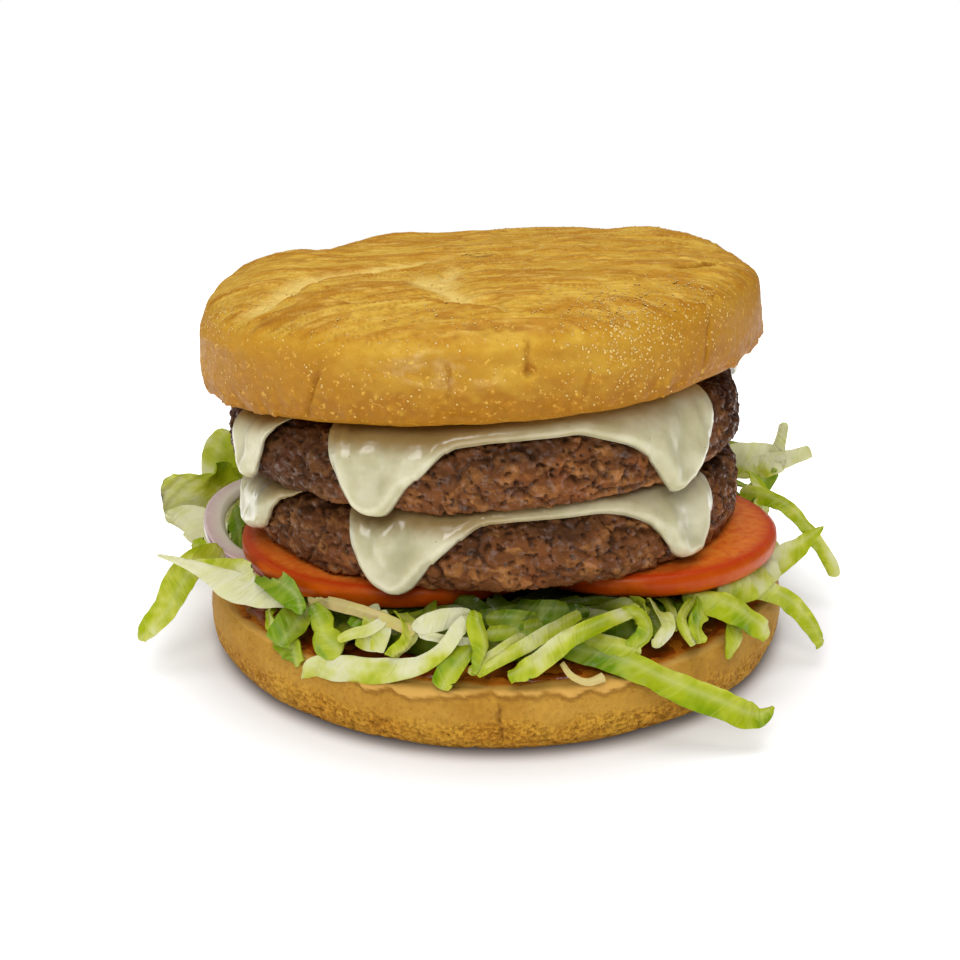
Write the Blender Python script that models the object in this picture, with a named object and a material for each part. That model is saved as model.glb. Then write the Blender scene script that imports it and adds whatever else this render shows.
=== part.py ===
"""Double cheeseburger: heel, shredded lettuce, onion ring, two tomato slices, two patties with
melted cheese and crown, each a separate solid. Metres, +Z up, the front towards -Y.

The origin is the middle of the heel's flat underside. Azimuths are in degrees, 0 at the front and
growing towards +X. Every layer is a UV sphere drawn out to that layer's own profile.
"""

import math

import bmesh
import bpy
from mathutils import Matrix, Vector, noise

MM = 0.001
GAP = 0.35 * MM  # left between pieces that touch

HEEL_RADIUS = 62.0 * MM
HEEL_HEIGHT = 13.5 * MM
HEEL_FOOT = 56.5 * MM  # radius of the flat underside
HEEL_WIDEST = 7.5 * MM  # height of the side's widest line
HEEL_RIM = 2.2 * MM  # how far the cut face's rim lies inside that line
HEEL_WOBBLE = 0.7 * MM

STACK_PITCH = 1.6  # degrees that tomatoes, patties and cheese lean back
STACK_ROLL = 1.0  # degrees that they lean left
STACK_BASE = 21.7 * MM  # height of the tomatoes' undersides at the middle

TOMATO_THICKNESS = 4.4 * MM
TOMATO_TOP_EDGE = 1.0 * MM  # rounding of the slices' edges
TOMATO_BOTTOM_EDGE = 1.6 * MM
TOMATO_LEFT_CENTRE = Vector((-17.0, -13.0)) * MM
TOMATO_LEFT_RADIUS = 35.5 * MM
TOMATO_RIGHT_CENTRE = Vector((27.2, -14.6)) * MM
TOMATO_RIGHT_RADIUS = 30.2 * MM

PATTY_THICKNESS = 13.2 * MM
PATTY_TOP_EDGE = 5.0 * MM  # rounding of the patties' edges
PATTY_BOTTOM_EDGE = 2.4 * MM
PATTY_LUMPS = 0.6 * MM  # mean depth the lumps are drawn in by
LOWER_PATTY_RADIUS = 51.6 * MM
UPPER_PATTY_RADIUS = 53.0 * MM
LOWER_PATTY_CENTRE = Vector((-0.3, -1.0)) * MM
UPPER_PATTY_CENTRE = Vector((-2.2, -1.0)) * MM
UPPER_PATTY_ROLL = 1.0  # degrees further left than the rest of the stack

CHEESE_LAP = 1.3  # mm that cheese hangs over a patty's edge between its drips
CHEESE_SPACE = 2.7 * MM  # between the patties, and between the upper one and the crown
CHEESE_OFF_EDGE = 0.8 * MM  # how far its underside stands off a patty's rounded edge
DRIP_THICKNESS = 2.7 * MM
DRIP_FLARE = 0.09  # how much a drip leans outward for each metre it hangs

CROWN_RADIUS = 56.7 * MM
CROWN_THICKNESS = 21.3 * MM
CROWN_CENTRE = Vector((-3.2, 0.0)) * MM
CROWN_ROLL = 3.8  # degrees, left side down
CROWN_WOBBLE = 0.9 * MM  # of its outline and its top
CROWN_FOOT = 5.0 * MM  # how far its flat underside stays inside its widest line
# Where its shoulder swells or sinks: middle and half width in degrees, height in mm.
CROWN_SWELLS = ((-104, 48, 2.3), (-155, 16, 1.0), (100, 38, -1.5))
CROWN_DROOP = (-58, 44, 1.2)  # where its lower rim hangs down, in the same way
CREASE_CENTRE = Vector((-9.0, -2.0)) * MM  # where the creases in its top meet
CREASES = ((-118, 52, 7.0, 2.4), (-166, 40, 6.0, 1.3), (62, 44, 6.0, 1.0))  # azimuth, then mm long,
# wide and deep

ONION_RADIUS = 24.5 * MM  # to the ring's outer skin
ONION_WALL = 4.6 * MM
ONION_THICKNESS = 2.6 * MM
ONION_CENTRE = Vector((-39.6, 0.9)) * MM
ONION_TILT = 6.5  # degrees
ONION_HIGH_SIDE = -121  # azimuth of its raised side, which the tomato leaves free
ONION_BEND = 2.4 * MM  # how much further that side bends up

LETTUCE_RADIUS = 56.0 * MM
LETTUCE_WOBBLE = 2.6 * MM
LETTUCE_BULGE = 2.0 * MM  # of the heap's side
SHRED_HALF_THICKNESS = 1.1 * MM

# Cheese that hangs over a patty's edge: azimuth, half widths to its left and right in degrees, and
# drop below the patty's top in mm.
UPPER_DRIPS = (
    (-54, 11, 14, 11.5),
    (-20, 10.5, 12.5, 14.0),
    (-8, 12, 15, 4.0),
    (14, 26, 18, 2.4),
    (36, 14, 10, 8.5),
    (44, 9, 13, 14.8),
    (104, 20, 24, 6.5),
    (156, 11, 14, 13.0),
    (172, 12, 22, 6.0),
    (226, 22, 16, 10.0),
)
LOWER_DRIPS = (
    (-64, 12, 13, 12.4),
    (-21, 12, 11.5, 13.6),
    (-14, 19, 17, 5.5),
    (14, 24, 16, 1.9),
    (39, 13, 10, 8.0),
    (45, 8.5, 9, 12.0),
    (116, 16, 20, 9.0),
    (180, 20, 14, 8.0),
    (240, 14, 18, 11.0),
)

# Long shreds that reach out of the lettuce: root, bend and tip in mm, half width in mm, and how far
# the blade is turned about its own length, in degrees.
SHREDS = (
    ((-50, -22, 19), (-64, -24, 23), (-74, -27.5, 7), 5.2, -40),
    ((-48, -32, 18), (-60, -32, 20), (-68, -26, 19), 5.0, -20),
    ((-47, 28, 19.5), (-60, 28, 24), (-77, 20, 25.5), 9.5, 66),
    ((-40, -36, 17), (-34, -60, 16), (-10, -60, 16), 4.2, 10),
    ((-44, -30, 17), (-50, -42, 17), (-40, -54, 15.5), 3.6, 0),
    ((-14, -48, 17), (-6, -60, 18), (-8, -62, 12), 3.0, 0),
    ((10, -48, 17), (12, -58, 19), (16, -61, 14), 3.4, 0),
    ((18, -48, 16.5), (38, -60, 22), (51, -57, 6.5), 4.6, 30),
    ((40, -38, 17), (52, -40, 18), (62, -36, 13), 4.6, 0),
    ((46, -20, 18), (60, -24, 20), (66, -28, 9), 3.6, 0),
    ((50, -14, 18), (66, -18, 20), (71, -20, 6), 3.4, 0),
    ((50, 8, 19), (68, 8, 24), (76, 2, 9), 3.0, 0),
    ((48, 26, 18), (60, 30, 24), (73.5, 30, 28), 7.5, 55),
    ((33, 40, 18), (50, 56, 22), (58, 62, 11), 3.6, 0),
    ((6, 50, 18), (8, 64, 22), (10, 74, 14), 4.0, 0),
    ((-28, 46, 18), (-34, 60, 21), (-42, 66, 10), 3.8, 0),
)


def polar(azimuth, radius, height=0.0):
    """The point at an azimuth in degrees from the front."""
    turn = math.radians(azimuth)
    return Vector((radius * math.sin(turn), -radius * math.cos(turn), height))


def azimuth_of(x, y):
    return math.degrees(math.atan2(x, -y))


def smooth(value, low, high):
    """0 at low, 1 at high, easing at both ends."""
    share = min(1.0, max(0.0, (value - low) / (high - low)))
    return share * share * (3 - 2 * share)


def ripple(x, y, wavelength, seed):
    """Even noise of about -1 to 1 over a plane."""
    return noise.noise(Vector((x / wavelength, y / wavelength, seed)))


def outline_wobble(azimuth, lobes, seed):
    """Noise round a circle, with about as many swells as lobes."""
    turn = math.radians(azimuth)
    return noise.noise(Vector((math.cos(turn), math.sin(turn), 0)) * lobes / 4 + Vector((0, 0, seed)))


def material(name, colour, roughness):
    made = bpy.data.materials.new(name)
    made.use_nodes = True
    shader = made.node_tree.nodes["Principled BSDF"]
    shader.inputs["Base Color"].default_value = (*colour, 1)
    shader.inputs["Roughness"].default_value = roughness
    shader.inputs["Metallic"].default_value = 0.0
    return made


def add_object(name, mesh, collection, surface, parent=None):
    obj = bpy.data.objects.new(name, mesh)
    collection.objects.link(obj)
    mesh.materials.append(surface)
    obj.parent = parent
    return obj


def shaped_disc(name, segments, rings, place):
    """A closed mesh: a UV sphere whose points go where place(azimuth, share) says. share runs from
    0 at the middle of the top, through 0.5 at the rim, to 1 at the middle of the underside."""
    mesh = bpy.data.meshes.new(name)
    shape = bmesh.new()
    bmesh.ops.create_uvsphere(shape, u_segments=segments, v_segments=rings, radius=1)
    for vertex in shape.verts:
        share = math.acos(max(-1.0, min(1.0, vertex.co.z))) / math.pi
        vertex.co = place(azimuth_of(vertex.co.x, vertex.co.y), share)
    bmesh.ops.recalc_face_normals(shape, faces=shape.faces)
    shape.to_mesh(mesh)
    shape.free()
    mesh.shade_smooth()
    mesh.set_sharp_from_angle(angle=math.radians(40))
    return mesh


def puck(share, radius, height, top_edge, bottom_edge, face_share=0.2):
    """(radius, height above the middle) on a disc with rounded edges, at a share of its profile."""
    below = share > 0.5
    side = 1 - share if below else share
    edge, sign = (bottom_edge, -1) if below else (top_edge, 1)
    if side <= face_share:
        return (radius - edge) * side / face_share, sign * height / 2
    turn = (side - face_share) / (0.5 - face_share) * math.pi / 2
    rim = (top_edge - bottom_edge) / 2  # the widest line, where the two roundings nearly meet
    return radius - edge + edge * math.sin(turn), sign * ((height / 2 + sign * rim) * math.cos(turn)) - rim


def heel_point(azimuth, share):
    """The heel: a flat foot, a side that bulges low down and a flat cut face with a crisp rim."""
    radius = HEEL_RADIUS + HEEL_WOBBLE * outline_wobble(azimuth, 6, 1.0)
    if share > 0.5:
        side = 1 - share
        foot = HEEL_FOOT * min(1.0, side / 0.2)
        turn = max(0.0, (side - 0.2) / 0.3) * math.pi / 2
        reach = foot + (radius - HEEL_FOOT) * math.sin(turn) ** 0.8
        return polar(azimuth, reach, HEEL_WIDEST * (1 - math.cos(turn) ** 0.9))
    turn = max(0.0, (share - 0.3) / 0.2) * math.pi / 2
    reach = (radius - HEEL_RIM) * min(1.0, share / 0.3) + HEEL_RIM * math.sin(turn)
    return polar(azimuth, reach, HEEL_WIDEST + (HEEL_HEIGHT - HEEL_WIDEST) * math.cos(turn))


def crown_valley(x, y):
    """Depth of the creases in the crown's top, which meet off its middle."""
    offset = (Vector((x, y)) - CREASE_CENTRE) / MM
    depth = 0.0
    for azimuth, length, width, deepest in CREASES:
        along = polar(azimuth, 1.0).to_2d()
        reach = offset.dot(along)
        aside = abs(offset.cross(along))
        fade = smooth(reach, -4, 8) * (1 - smooth(reach, length, 1.4 * length))
        depth = max(depth, deepest * fade * (1 - smooth(aside, 0, width)))
    return depth * MM


def hump(azimuth, middle, half_width, height):
    """A smooth rise to height at an azimuth, nothing from half_width either side of it."""
    away = abs((azimuth - middle + 180) % 360 - 180)
    return height * (1 - smooth(away, 0, half_width))


def crown_point(azimuth, share):
    """The crown about its own middle: full rounded shoulders, a low uneven top and a flat cut face."""
    radius = CROWN_RADIUS + CROWN_WOBBLE * outline_wobble(azimuth, 5, 3.0)
    half = CROWN_THICKNESS / 2
    if share > 0.5:
        side = 1 - share
        droop = hump(azimuth, *CROWN_DROOP)
        foot = CROWN_FOOT - 1.3 * droop * MM
        turn = max(0.0, side / 0.25 - 1) * math.pi / 2
        reach = (radius - foot) * min(1.0, side / 0.25) + foot * math.sin(turn)
        hang = droop * MM * smooth(reach, radius - 2.6 * MM, radius - 1.2 * MM) * math.cos(turn)
        return polar(azimuth, reach, -half * math.cos(turn) ** 0.75 - hang)
    turn = share * math.pi
    reach = radius * math.sin(turn) ** 0.5
    height = half * math.cos(turn) ** 0.55
    point = polar(azimuth, reach, height)
    top = smooth(height, 0.3 * half, 0.9 * half)
    swell = CROWN_WOBBLE * ripple(point.x, point.y, 26 * MM, 5.0)
    shoulder = sum(hump(azimuth, *swelling) for swelling in CROWN_SWELLS) * MM
    shoulder *= smooth(reach, 0.4 * radius, 0.85 * radius)
    point.z += top * (swell + shoulder - crown_valley(point.x, point.y))
    return point


def lumpy(point, centre_height, radius, seed):
    """Draws a patty's surface in by up to twice PATTY_LUMPS, in lumps."""
    depth = PATTY_LUMPS * (1 + noise.noise(point / (7.5 * MM) + Vector((seed, 0, 0))))
    flat = Vector((point.x, point.y, 0))
    rim = smooth(flat.length, radius - 9 * MM, radius)
    point = point - flat.normalized() * depth * rim if flat.length > 0 else point
    point.z -= (1 - rim) * depth * (1 if point.z > centre_height else -1) * 0.5
    return point


def patty_point(azimuth, share, radius, seed):
    out, height = puck(share, radius, PATTY_THICKNESS, PATTY_TOP_EDGE, PATTY_BOTTOM_EDGE)
    return lumpy(polar(azimuth, out, height), 0.0, radius, seed)


def drop_at(azimuth, drips):
    """Height the cheese hangs below the patty's top there."""
    total = CHEESE_LAP**4
    for middle, left, right, drop in drips:
        away = (azimuth - middle + 180) % 360 - 180
        aside = abs(away) / (right if away > 0 else left)
        if aside < 1:
            total += (drop * (1 - aside**2.2) ** 0.8) ** 4
    return total**0.25 * MM


def over_patty(travel, radius, lift):
    """(radius, height above the patty's middle) lift away from the patty, after travelling from the
    middle of its top over its edge and down its side."""
    flat = radius - PATTY_TOP_EDGE
    bend = (PATTY_TOP_EDGE + GAP) * math.pi / 2
    reach = PATTY_TOP_EDGE + GAP + lift
    if travel <= flat:
        return travel, PATTY_THICKNESS / 2 + GAP + lift
    turn = min(travel - flat, bend) / (PATTY_TOP_EDGE + GAP)
    down = max(0.0, travel - flat - bend)
    side = flat + reach * math.sin(turn) + DRIP_FLARE * down
    return side, PATTY_THICKNESS / 2 - PATTY_TOP_EDGE + reach * math.cos(turn) - down


def cheese_point(azimuth, share, radius, drips, slope):
    """Melted cheese on a patty. slope is how much thicker the sheet grows for each metre along X."""
    below = share > 0.5
    side = 2 * (1 - share if below else share)
    flat = radius - PATTY_TOP_EDGE
    drop = drop_at(azimuth, drips)
    corner = PATTY_TOP_EDGE + GAP
    if drop > corner:
        end = flat + corner * math.pi / 2 + drop - corner
    else:
        end = flat + corner * math.acos(1 - drop / corner)
    start = flat - 3 * MM
    travel = start * side / 0.2 if side < 0.2 else start + (end - start) * (side - 0.2) / 0.8
    x = min(travel, radius) * math.sin(math.radians(azimuth))
    sheet = CHEESE_SPACE - 2 * GAP + slope * x
    lift = sheet + (DRIP_THICKNESS - sheet) * smooth(travel, flat + 1 * MM, flat + 8 * MM)
    lift *= math.sqrt(1 - 0.9 * max(0.0, 1 - (end - travel) / (2.5 * MM)) ** 2)
    inner = CHEESE_OFF_EDGE * smooth(travel, flat - 1.5 * MM, flat + 2.5 * MM)
    out, height = over_patty(travel, radius, inner if below else max(lift, inner + 0.5 * MM))
    return polar(azimuth, out, height)


def tomato_bodies():
    return (TOMATO_LEFT_CENTRE, TOMATO_LEFT_RADIUS), (TOMATO_RIGHT_CENTRE, TOMATO_RIGHT_RADIUS)


def tomato_point(azimuth, share, centre, radius, upper_in_lap):
    """A slice in the stack's frame. Where the two slices overlap each is pressed to half its
    thickness, the left one above the right one."""
    radius = radius * (1 + 0.012 * outline_wobble(azimuth, 5, centre.x * 100))
    out, height = puck(share, radius, TOMATO_THICKNESS, TOMATO_TOP_EDGE, TOMATO_BOTTOM_EDGE, 0.28)
    point = polar(azimuth, out, height + TOMATO_THICKNESS / 2) + centre.to_3d()
    other_centre, other_radius = tomato_bodies()[1 if upper_in_lap else 0]
    margin = (8 if upper_in_lap else 14) * MM  # no less than the length of an edge there
    lapped = (point.to_2d() - other_centre).length < other_radius + margin
    middle = TOMATO_THICKNESS / 2
    if lapped and upper_in_lap:
        point.z = max(point.z, middle + GAP / 2)
    elif lapped:
        point.z = min(point.z, middle - GAP / 2)
    return point


def stack_height(x, y):
    """World height of the plane that the tomatoes lie on."""
    return STACK_BASE - y * math.tan(math.radians(STACK_PITCH)) + x * math.tan(math.radians(STACK_ROLL))


def lettuce_top(x, y):
    """Height of the heap: level under the slices, and fuller outside them."""
    bed = stack_height(x, y) - GAP - 0.1 * MM
    clear = min((Vector((x, y)) - c).length - r for c, r in tomato_bodies())
    return bed + (1.2 + 1.3 * ripple(x, y, 16 * MM, 8.0)) * MM * smooth(clear, 6 * MM, 14 * MM)


def lettuce_point(azimuth, share):
    outer = LETTUCE_RADIUS + LETTUCE_WOBBLE * outline_wobble(azimuth, 26, 9.0)
    side = 1 - share if share > 0.5 else share
    reach = outer * min(1.0, side / 0.4)
    point = polar(azimuth, reach)
    bottom = HEEL_HEIGHT + GAP + 0.15 * MM
    top = lettuce_top(point.x, point.y)
    if side > 0.4:
        bulge = (side - 0.4) / 0.1 * math.pi / 2
        point = polar(azimuth, outer + LETTUCE_BULGE * math.sin(bulge))
        middle = (top + bottom) / 2
        point.z = middle + (top - middle) * math.cos(bulge) * (-1 if share > 0.5 else 1)
        return point
    point.z = bottom if share > 0.5 else top
    return point


def shred_mesh(name, root, bend, tip, half_width, roll):
    """A long leaf strip: a flattened sphere drawn out along a curve from root to tip."""
    root, bend, tip = (Vector(p) * MM for p in (root, bend, tip))
    mesh = bpy.data.meshes.new(name)
    shape = bmesh.new()
    bmesh.ops.create_uvsphere(shape, u_segments=6, v_segments=7, radius=1)
    for vertex in shape.verts:
        share = (vertex.co.z + 1) / 2
        centre = root * (1 - share) ** 2 + bend * 2 * share * (1 - share) + tip * share**2
        along = ((bend - root) * (1 - share) + (tip - bend) * share).normalized()
        across = Matrix.Rotation(math.radians(roll), 3, along) @ along.cross(Vector((0, 0, 1))).normalized()
        up = across.cross(along)
        full = max(0.0, 1 - (2 * share - 1) ** 6) ** 0.5
        flat = Vector((vertex.co.x, vertex.co.y))
        flat = flat.normalized() * full if flat.length > 1e-6 else flat
        vertex.co = centre + across * flat.x * half_width * MM + up * flat.y * SHRED_HALF_THICKNESS
    bmesh.ops.recalc_face_normals(shape, faces=shape.faces)
    shape.to_mesh(mesh)
    shape.free()
    return mesh


def ring_mesh(name, grow):
    """The onion ring about its own middle, grow larger all round."""
    mesh = bpy.data.meshes.new(name)
    segments, sides = 28, 6
    shape = bmesh.new()
    middle = ONION_RADIUS - ONION_WALL / 2
    loops = []
    for i in range(segments):
        turn = 2 * math.pi * i / segments
        loop = []
        for k in range(sides):
            angle = 2 * math.pi * (k + 0.5) / sides
            wide, tall = math.cos(angle), math.sin(angle)
            out = middle + (ONION_WALL / 2 + grow) * math.copysign(abs(wide) ** 0.6, wide)
            up = (ONION_THICKNESS / 2 + grow) * math.copysign(abs(tall) ** 0.6, tall)
            point = Vector((out * math.cos(turn), out * math.sin(turn), up))
            point.z += ONION_BEND * smooth(point.dot(polar(ONION_HIGH_SIDE, 1.0)), 5 * MM, ONION_RADIUS)
            loop.append(shape.verts.new(point))
        loops.append(loop)
    for i in range(segments):
        here, there = loops[i], loops[(i + 1) % segments]
        for k in range(sides):
            shape.faces.new((here[k], there[k], there[(k + 1) % sides], here[(k + 1) % sides]))
    bmesh.ops.recalc_face_normals(shape, faces=shape.faces)
    shape.to_mesh(mesh)
    shape.free()
    return mesh


def helper(obj):
    """A cutter or an added shape: it isn't a piece of its own."""
    obj.hide_render = True
    obj.display_type = "WIRE"
    return obj


def add_boolean(obj, operation, other):
    modifier = obj.modifiers.new(operation.title() + " " + other.name, "BOOLEAN")
    modifier.operation = operation
    modifier.object = other
    modifier.solver = "EXACT"


def main():
    for obj in list(bpy.data.objects):
        bpy.data.objects.remove(obj)
    burger = bpy.data.collections.new("double_cheeseburger")
    helpers = bpy.data.collections.new("helpers")
    for collection in (burger, helpers):
        bpy.context.scene.collection.children.link(collection)

    heel_crust = material("heel_crust", (0.62, 0.38, 0.11), 0.6)
    crown_crust = material("crown_crust", (0.64, 0.36, 0.07), 0.5)
    leaf = material("lettuce", (0.55, 0.68, 0.16), 0.45)
    skin = material("tomato", (0.72, 0.12, 0.03), 0.3)
    bulb = material("onion", (0.72, 0.58, 0.6), 0.35)
    beef = material("beef", (0.16, 0.08, 0.045), 0.6)
    melted = material("cheese", (0.82, 0.8, 0.6), 0.3)

    stack = bpy.data.objects.new("stack_frame", None)
    burger.objects.link(stack)
    stack.location.z = STACK_BASE
    stack.rotation_euler = (-math.radians(STACK_PITCH), -math.radians(STACK_ROLL), 0)

    add_object("heel", shaped_disc("heel", 44, 9, heel_point), burger, heel_crust)

    lettuce = add_object("lettuce", shaped_disc("lettuce", 48, 10, lettuce_point), burger, leaf)
    for number, route in enumerate(SHREDS, 1):
        name = f"shred_{number:02d}"
        add_boolean(lettuce, "UNION", helper(add_object(name, shred_mesh(name, *route), helpers, leaf)))

    onion_height = stack_height(*ONION_CENTRE) - ONION_THICKNESS / 2 - 2 * GAP
    hinge = polar(ONION_HIGH_SIDE, 1.0).cross(Vector((0, 0, 1)))
    onion_place = Matrix.Translation((*ONION_CENTRE, onion_height))
    onion_place @= Matrix.Rotation(math.radians(ONION_TILT), 4, hinge)
    onion = add_object("onion_ring", ring_mesh("onion_ring", 0.0), burger, bulb)
    onion.matrix_world = onion_place
    groove = helper(add_object("onion_groove", ring_mesh("onion_groove", GAP), helpers, leaf))
    groove.matrix_world = onion_place
    add_boolean(lettuce, "DIFFERENCE", groove)

    for name, (centre, radius), upper in zip(("tomato_left", "tomato_right"), tomato_bodies(), (True, False)):
        mesh = shaped_disc(name, 32, 8, lambda a, s: tomato_point(a, s, centre, radius, upper))
        add_object(name, mesh, burger, skin, stack)

    lower_height = TOMATO_THICKNESS + GAP + PATTY_THICKNESS / 2
    upper_height = lower_height + PATTY_THICKNESS + CHEESE_SPACE
    upper_slope = math.tan(math.radians(CROWN_ROLL - UPPER_PATTY_ROLL - STACK_ROLL))
    lower_slope = math.tan(math.radians(UPPER_PATTY_ROLL))
    lower = ("lower", LOWER_PATTY_CENTRE, LOWER_PATTY_RADIUS, LOWER_DRIPS, lower_slope)
    upper = ("upper", UPPER_PATTY_CENTRE, UPPER_PATTY_RADIUS, UPPER_DRIPS, upper_slope)
    levels = ((*lower, lower_height, 0.0), (*upper, upper_height, UPPER_PATTY_ROLL))
    for level, centre, radius, drips, slope, height, roll in levels:
        place = Matrix.Translation((*centre, height)) @ Matrix.Rotation(-math.radians(roll), 4, "Y")
        seed = height / MM
        mesh = shaped_disc(f"{level}_patty", 44, 10, lambda a, s: patty_point(a, s, radius, seed))
        patty = add_object(f"{level}_patty", mesh, burger, beef, stack)
        patty.matrix_local = place
        mesh = shaped_disc(f"{level}_cheese", 78, 10, lambda a, s: cheese_point(a, s, radius, drips, slope))
        cheese = add_object(f"{level}_cheese", mesh, burger, melted, stack)
        cheese.matrix_local = place

    crown = add_object("crown", shaped_disc("crown", 44, 12, crown_point), burger, crown_crust)
    crown_height = STACK_BASE + upper_height + PATTY_THICKNESS / 2 + CHEESE_SPACE + GAP + CROWN_THICKNESS / 2
    crown.location = (*CROWN_CENTRE, crown_height)
    crown.rotation_euler = (-math.radians(STACK_PITCH), -math.radians(CROWN_ROLL), 0)


main()
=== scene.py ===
"""Looks of the double cheeseburger: crust, melted cheese, minced beef, tomato, onion, lettuce and sauce.

Lengths in the constants are millimetres unless they say metres, and become metres at MM. Azimuths are
degrees, 0 at the front (-Y) and growing towards +X.
"""

import math
import random

import bpy
import numpy as np
from mathutils import Euler, Matrix, Vector, noise

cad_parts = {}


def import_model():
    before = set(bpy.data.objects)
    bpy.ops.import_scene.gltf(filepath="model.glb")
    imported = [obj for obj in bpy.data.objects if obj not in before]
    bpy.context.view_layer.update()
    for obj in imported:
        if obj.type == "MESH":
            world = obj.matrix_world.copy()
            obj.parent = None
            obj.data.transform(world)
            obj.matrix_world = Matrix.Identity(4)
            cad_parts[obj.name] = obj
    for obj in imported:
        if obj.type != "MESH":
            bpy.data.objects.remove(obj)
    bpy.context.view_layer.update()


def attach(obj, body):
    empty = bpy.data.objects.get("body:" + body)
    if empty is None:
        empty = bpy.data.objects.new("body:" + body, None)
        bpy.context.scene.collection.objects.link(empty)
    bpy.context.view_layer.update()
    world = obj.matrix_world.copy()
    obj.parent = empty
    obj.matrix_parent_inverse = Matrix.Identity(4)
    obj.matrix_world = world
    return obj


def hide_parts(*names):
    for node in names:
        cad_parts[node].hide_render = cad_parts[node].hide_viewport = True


MM = 0.001
UP = Vector((0, 0, 1))

# The layers' sizes and places, as the solids have them. An edge is the radius it is rounded with.
HEEL_RADIUS, HEEL_HEIGHT, HEEL_FOOT, HEEL_WIDEST, HEEL_RIM = 61.9, 13.5, 56.5, 7.5, 2.2
STACK_PITCH, STACK_ROLL, STACK_BASE = 1.6, 1.0, 21.7
TOMATO_THICKNESS, TOMATO_TOP_EDGE, TOMATO_BOTTOM_EDGE = 4.4, 0.45, 1.3
TOMATOES = {"tomato_left": ((-17.0, -13.0), 35.5), "tomato_right": ((27.2, -14.6), 30.2)}
PATTY_THICKNESS, PATTY_TOP_EDGE, PATTY_BOTTOM_EDGE = 13.2, 5.0, 2.4
# GAP keeps the pieces apart. A drip leans outward by DRIP_FLARE of its length.
CHEESE_SPACE, DRIP_FLARE, GAP = 2.7, 0.09, 0.35
UPPER_PATTY_ROLL = 1.0
CROWN_RADIUS, CROWN_THICKNESS, CROWN_CENTRE, CROWN_ROLL = 56.7, 21.3, (-3.2, 0.0), 3.8
CROWN_FOOT = 5.0
# Where the crown's shoulder swells or sinks: middle and half width in degrees, height in mm.
CROWN_SWELLS = ((-104, 48, 2.3), (-155, 16, 1.0), (100, 38, -1.5))
CROWN_DROOP = (-58, 44, 1.2)  # where its lower rim hangs down, in the same way
ONION_RADIUS, ONION_WALL, ONION_THICKNESS = 24.5, 4.6, 2.6
ONION_CENTRE, ONION_TILT, ONION_HIGH_SIDE, ONION_BEND = (-39.6, 0.9), 6.5, -121, 2.4

LOWER_HEIGHT = TOMATO_THICKNESS + GAP + PATTY_THICKNESS / 2
UPPER_HEIGHT = LOWER_HEIGHT + PATTY_THICKNESS + CHEESE_SPACE
LEVELS = {  # centre, radius, height above the stack's base, roll
    "lower": ((-0.3, -1.0), 51.6, LOWER_HEIGHT, 0.0),
    "upper": ((-2.2, -1.0), 53.0, UPPER_HEIGHT, UPPER_PATTY_ROLL),
}
# How far the melted cheese hangs below the patty's top: pairs of azimuth and mm, all the way round.
DRAPES = {
    "upper": (
        (-63.5, -5), (-61.2, 1), (-59, 9), (-56.5, 12), (-53.6, 12.4), (-50.6, 9.4), (-49.2, 4), (-46, 1.2),
        (-43, -1), (-40, -7), (-36.5, -7), (-33.8, -1), (-31.4, 1.2), (-29.5, 4), (-28.1, 7.8), (-26.6, 11),
        (-24.6, 12.8), (-21.8, 13.6), (-18.8, 13.6), (-16.6, 12.6), (-14.8, 9.2), (-11.5, 6.6), (-8.7, 3.9),
        (-5.8, 2.1), (2, 1.3),
        (20, 1.2), (25, 2.4), (30, 4.2), (34, 7.4), (36.4, 11.6), (39.4, 14.4), (43.4, 14.4), (45.8, 12.2),
        (48.4, 9.4), (51.4, 7.2), (53.6, 3), (55.5, -2), (60, -6), (76, -6), (84, 0.5), (96, 5), (106, 7),
        (120, 3), (144, 3), (152, 11), (158, 13), (163, 8), (176, 6), (190, 2), (206, 2), (216, 8.5),
        (226, 10), (236, 7), (250, 1), (280, 0.6),
    ),
    "lower": (
        (-79, -3), (-76.6, 0.5), (-74, 7), (-71, 10.8), (-65, 11), (-60, 9.8), (-56.4, 7.6), (-54, 2.6),
        (-49, 0.9), (-44, -2), (-41, -7), (-37, -6), (-34, -1.5), (-31.4, 0.8), (-29.5, 3.2), (-28.5, 5.8),
        (-27.8, 8.8), (-26.3, 11), (-23.7, 12.8), (-20.4, 13.7), (-16.8, 13), (-14.8, 11.5), (-13.4, 9),
        (-11, 6.3), (-7.6, 3.9), (-4.9, 2.3), (-2, 1.1), (4, 0.8), (24, 0.8),
        (29, 1.8), (33, 3.8), (36, 6.2), (38.4, 9.8), (41.4, 12.2), (45.6, 12.4),
        (48.6, 11), (50.8, 7.4), (53, 3.6), (55.2, -2), (60, -6), (88, -5), (97, 1), (108, 7.5), (116, 9),
        (126, 5), (140, 1.5), (164, 2), (174, 7.5), (184, 8), (196, 2), (222, 2), (232, 9.5), (241, 11),
        (250, 6), (262, 0.5),
    ),
}
# Grooves between the lobes of melted cheese: azimuth at the top and at the bottom, depth in mm.
GROOVES = {"upper": ((-19.5, -20.5, 0.6), (43.5, 40.5, 1.0)), "lower": ((-17.5, -19, 1.0), (44, 43, 0.8))}


def polar(azimuth, radius, height=0.0):
    turn = math.radians(azimuth)
    return Vector((radius * math.sin(turn), -radius * math.cos(turn), height))


def azimuth_of(x, y):
    return math.degrees(math.atan2(x, -y))


def smooth(value, low, high):
    """0 at low, 1 at high, eased between them."""
    share = min(1.0, max(0.0, (value - low) / (high - low)))
    return share * share * (3 - 2 * share)


def fade(value, low, high):
    """1 at low, 0 at high, eased between them."""
    return 1 - smooth(value, low, high)


def plan_distance(point, centre=(0, 0)):
    """Distance of a point from the upright line through centre."""
    return math.hypot(point[0] - centre[0], point[1] - centre[1])


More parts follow.
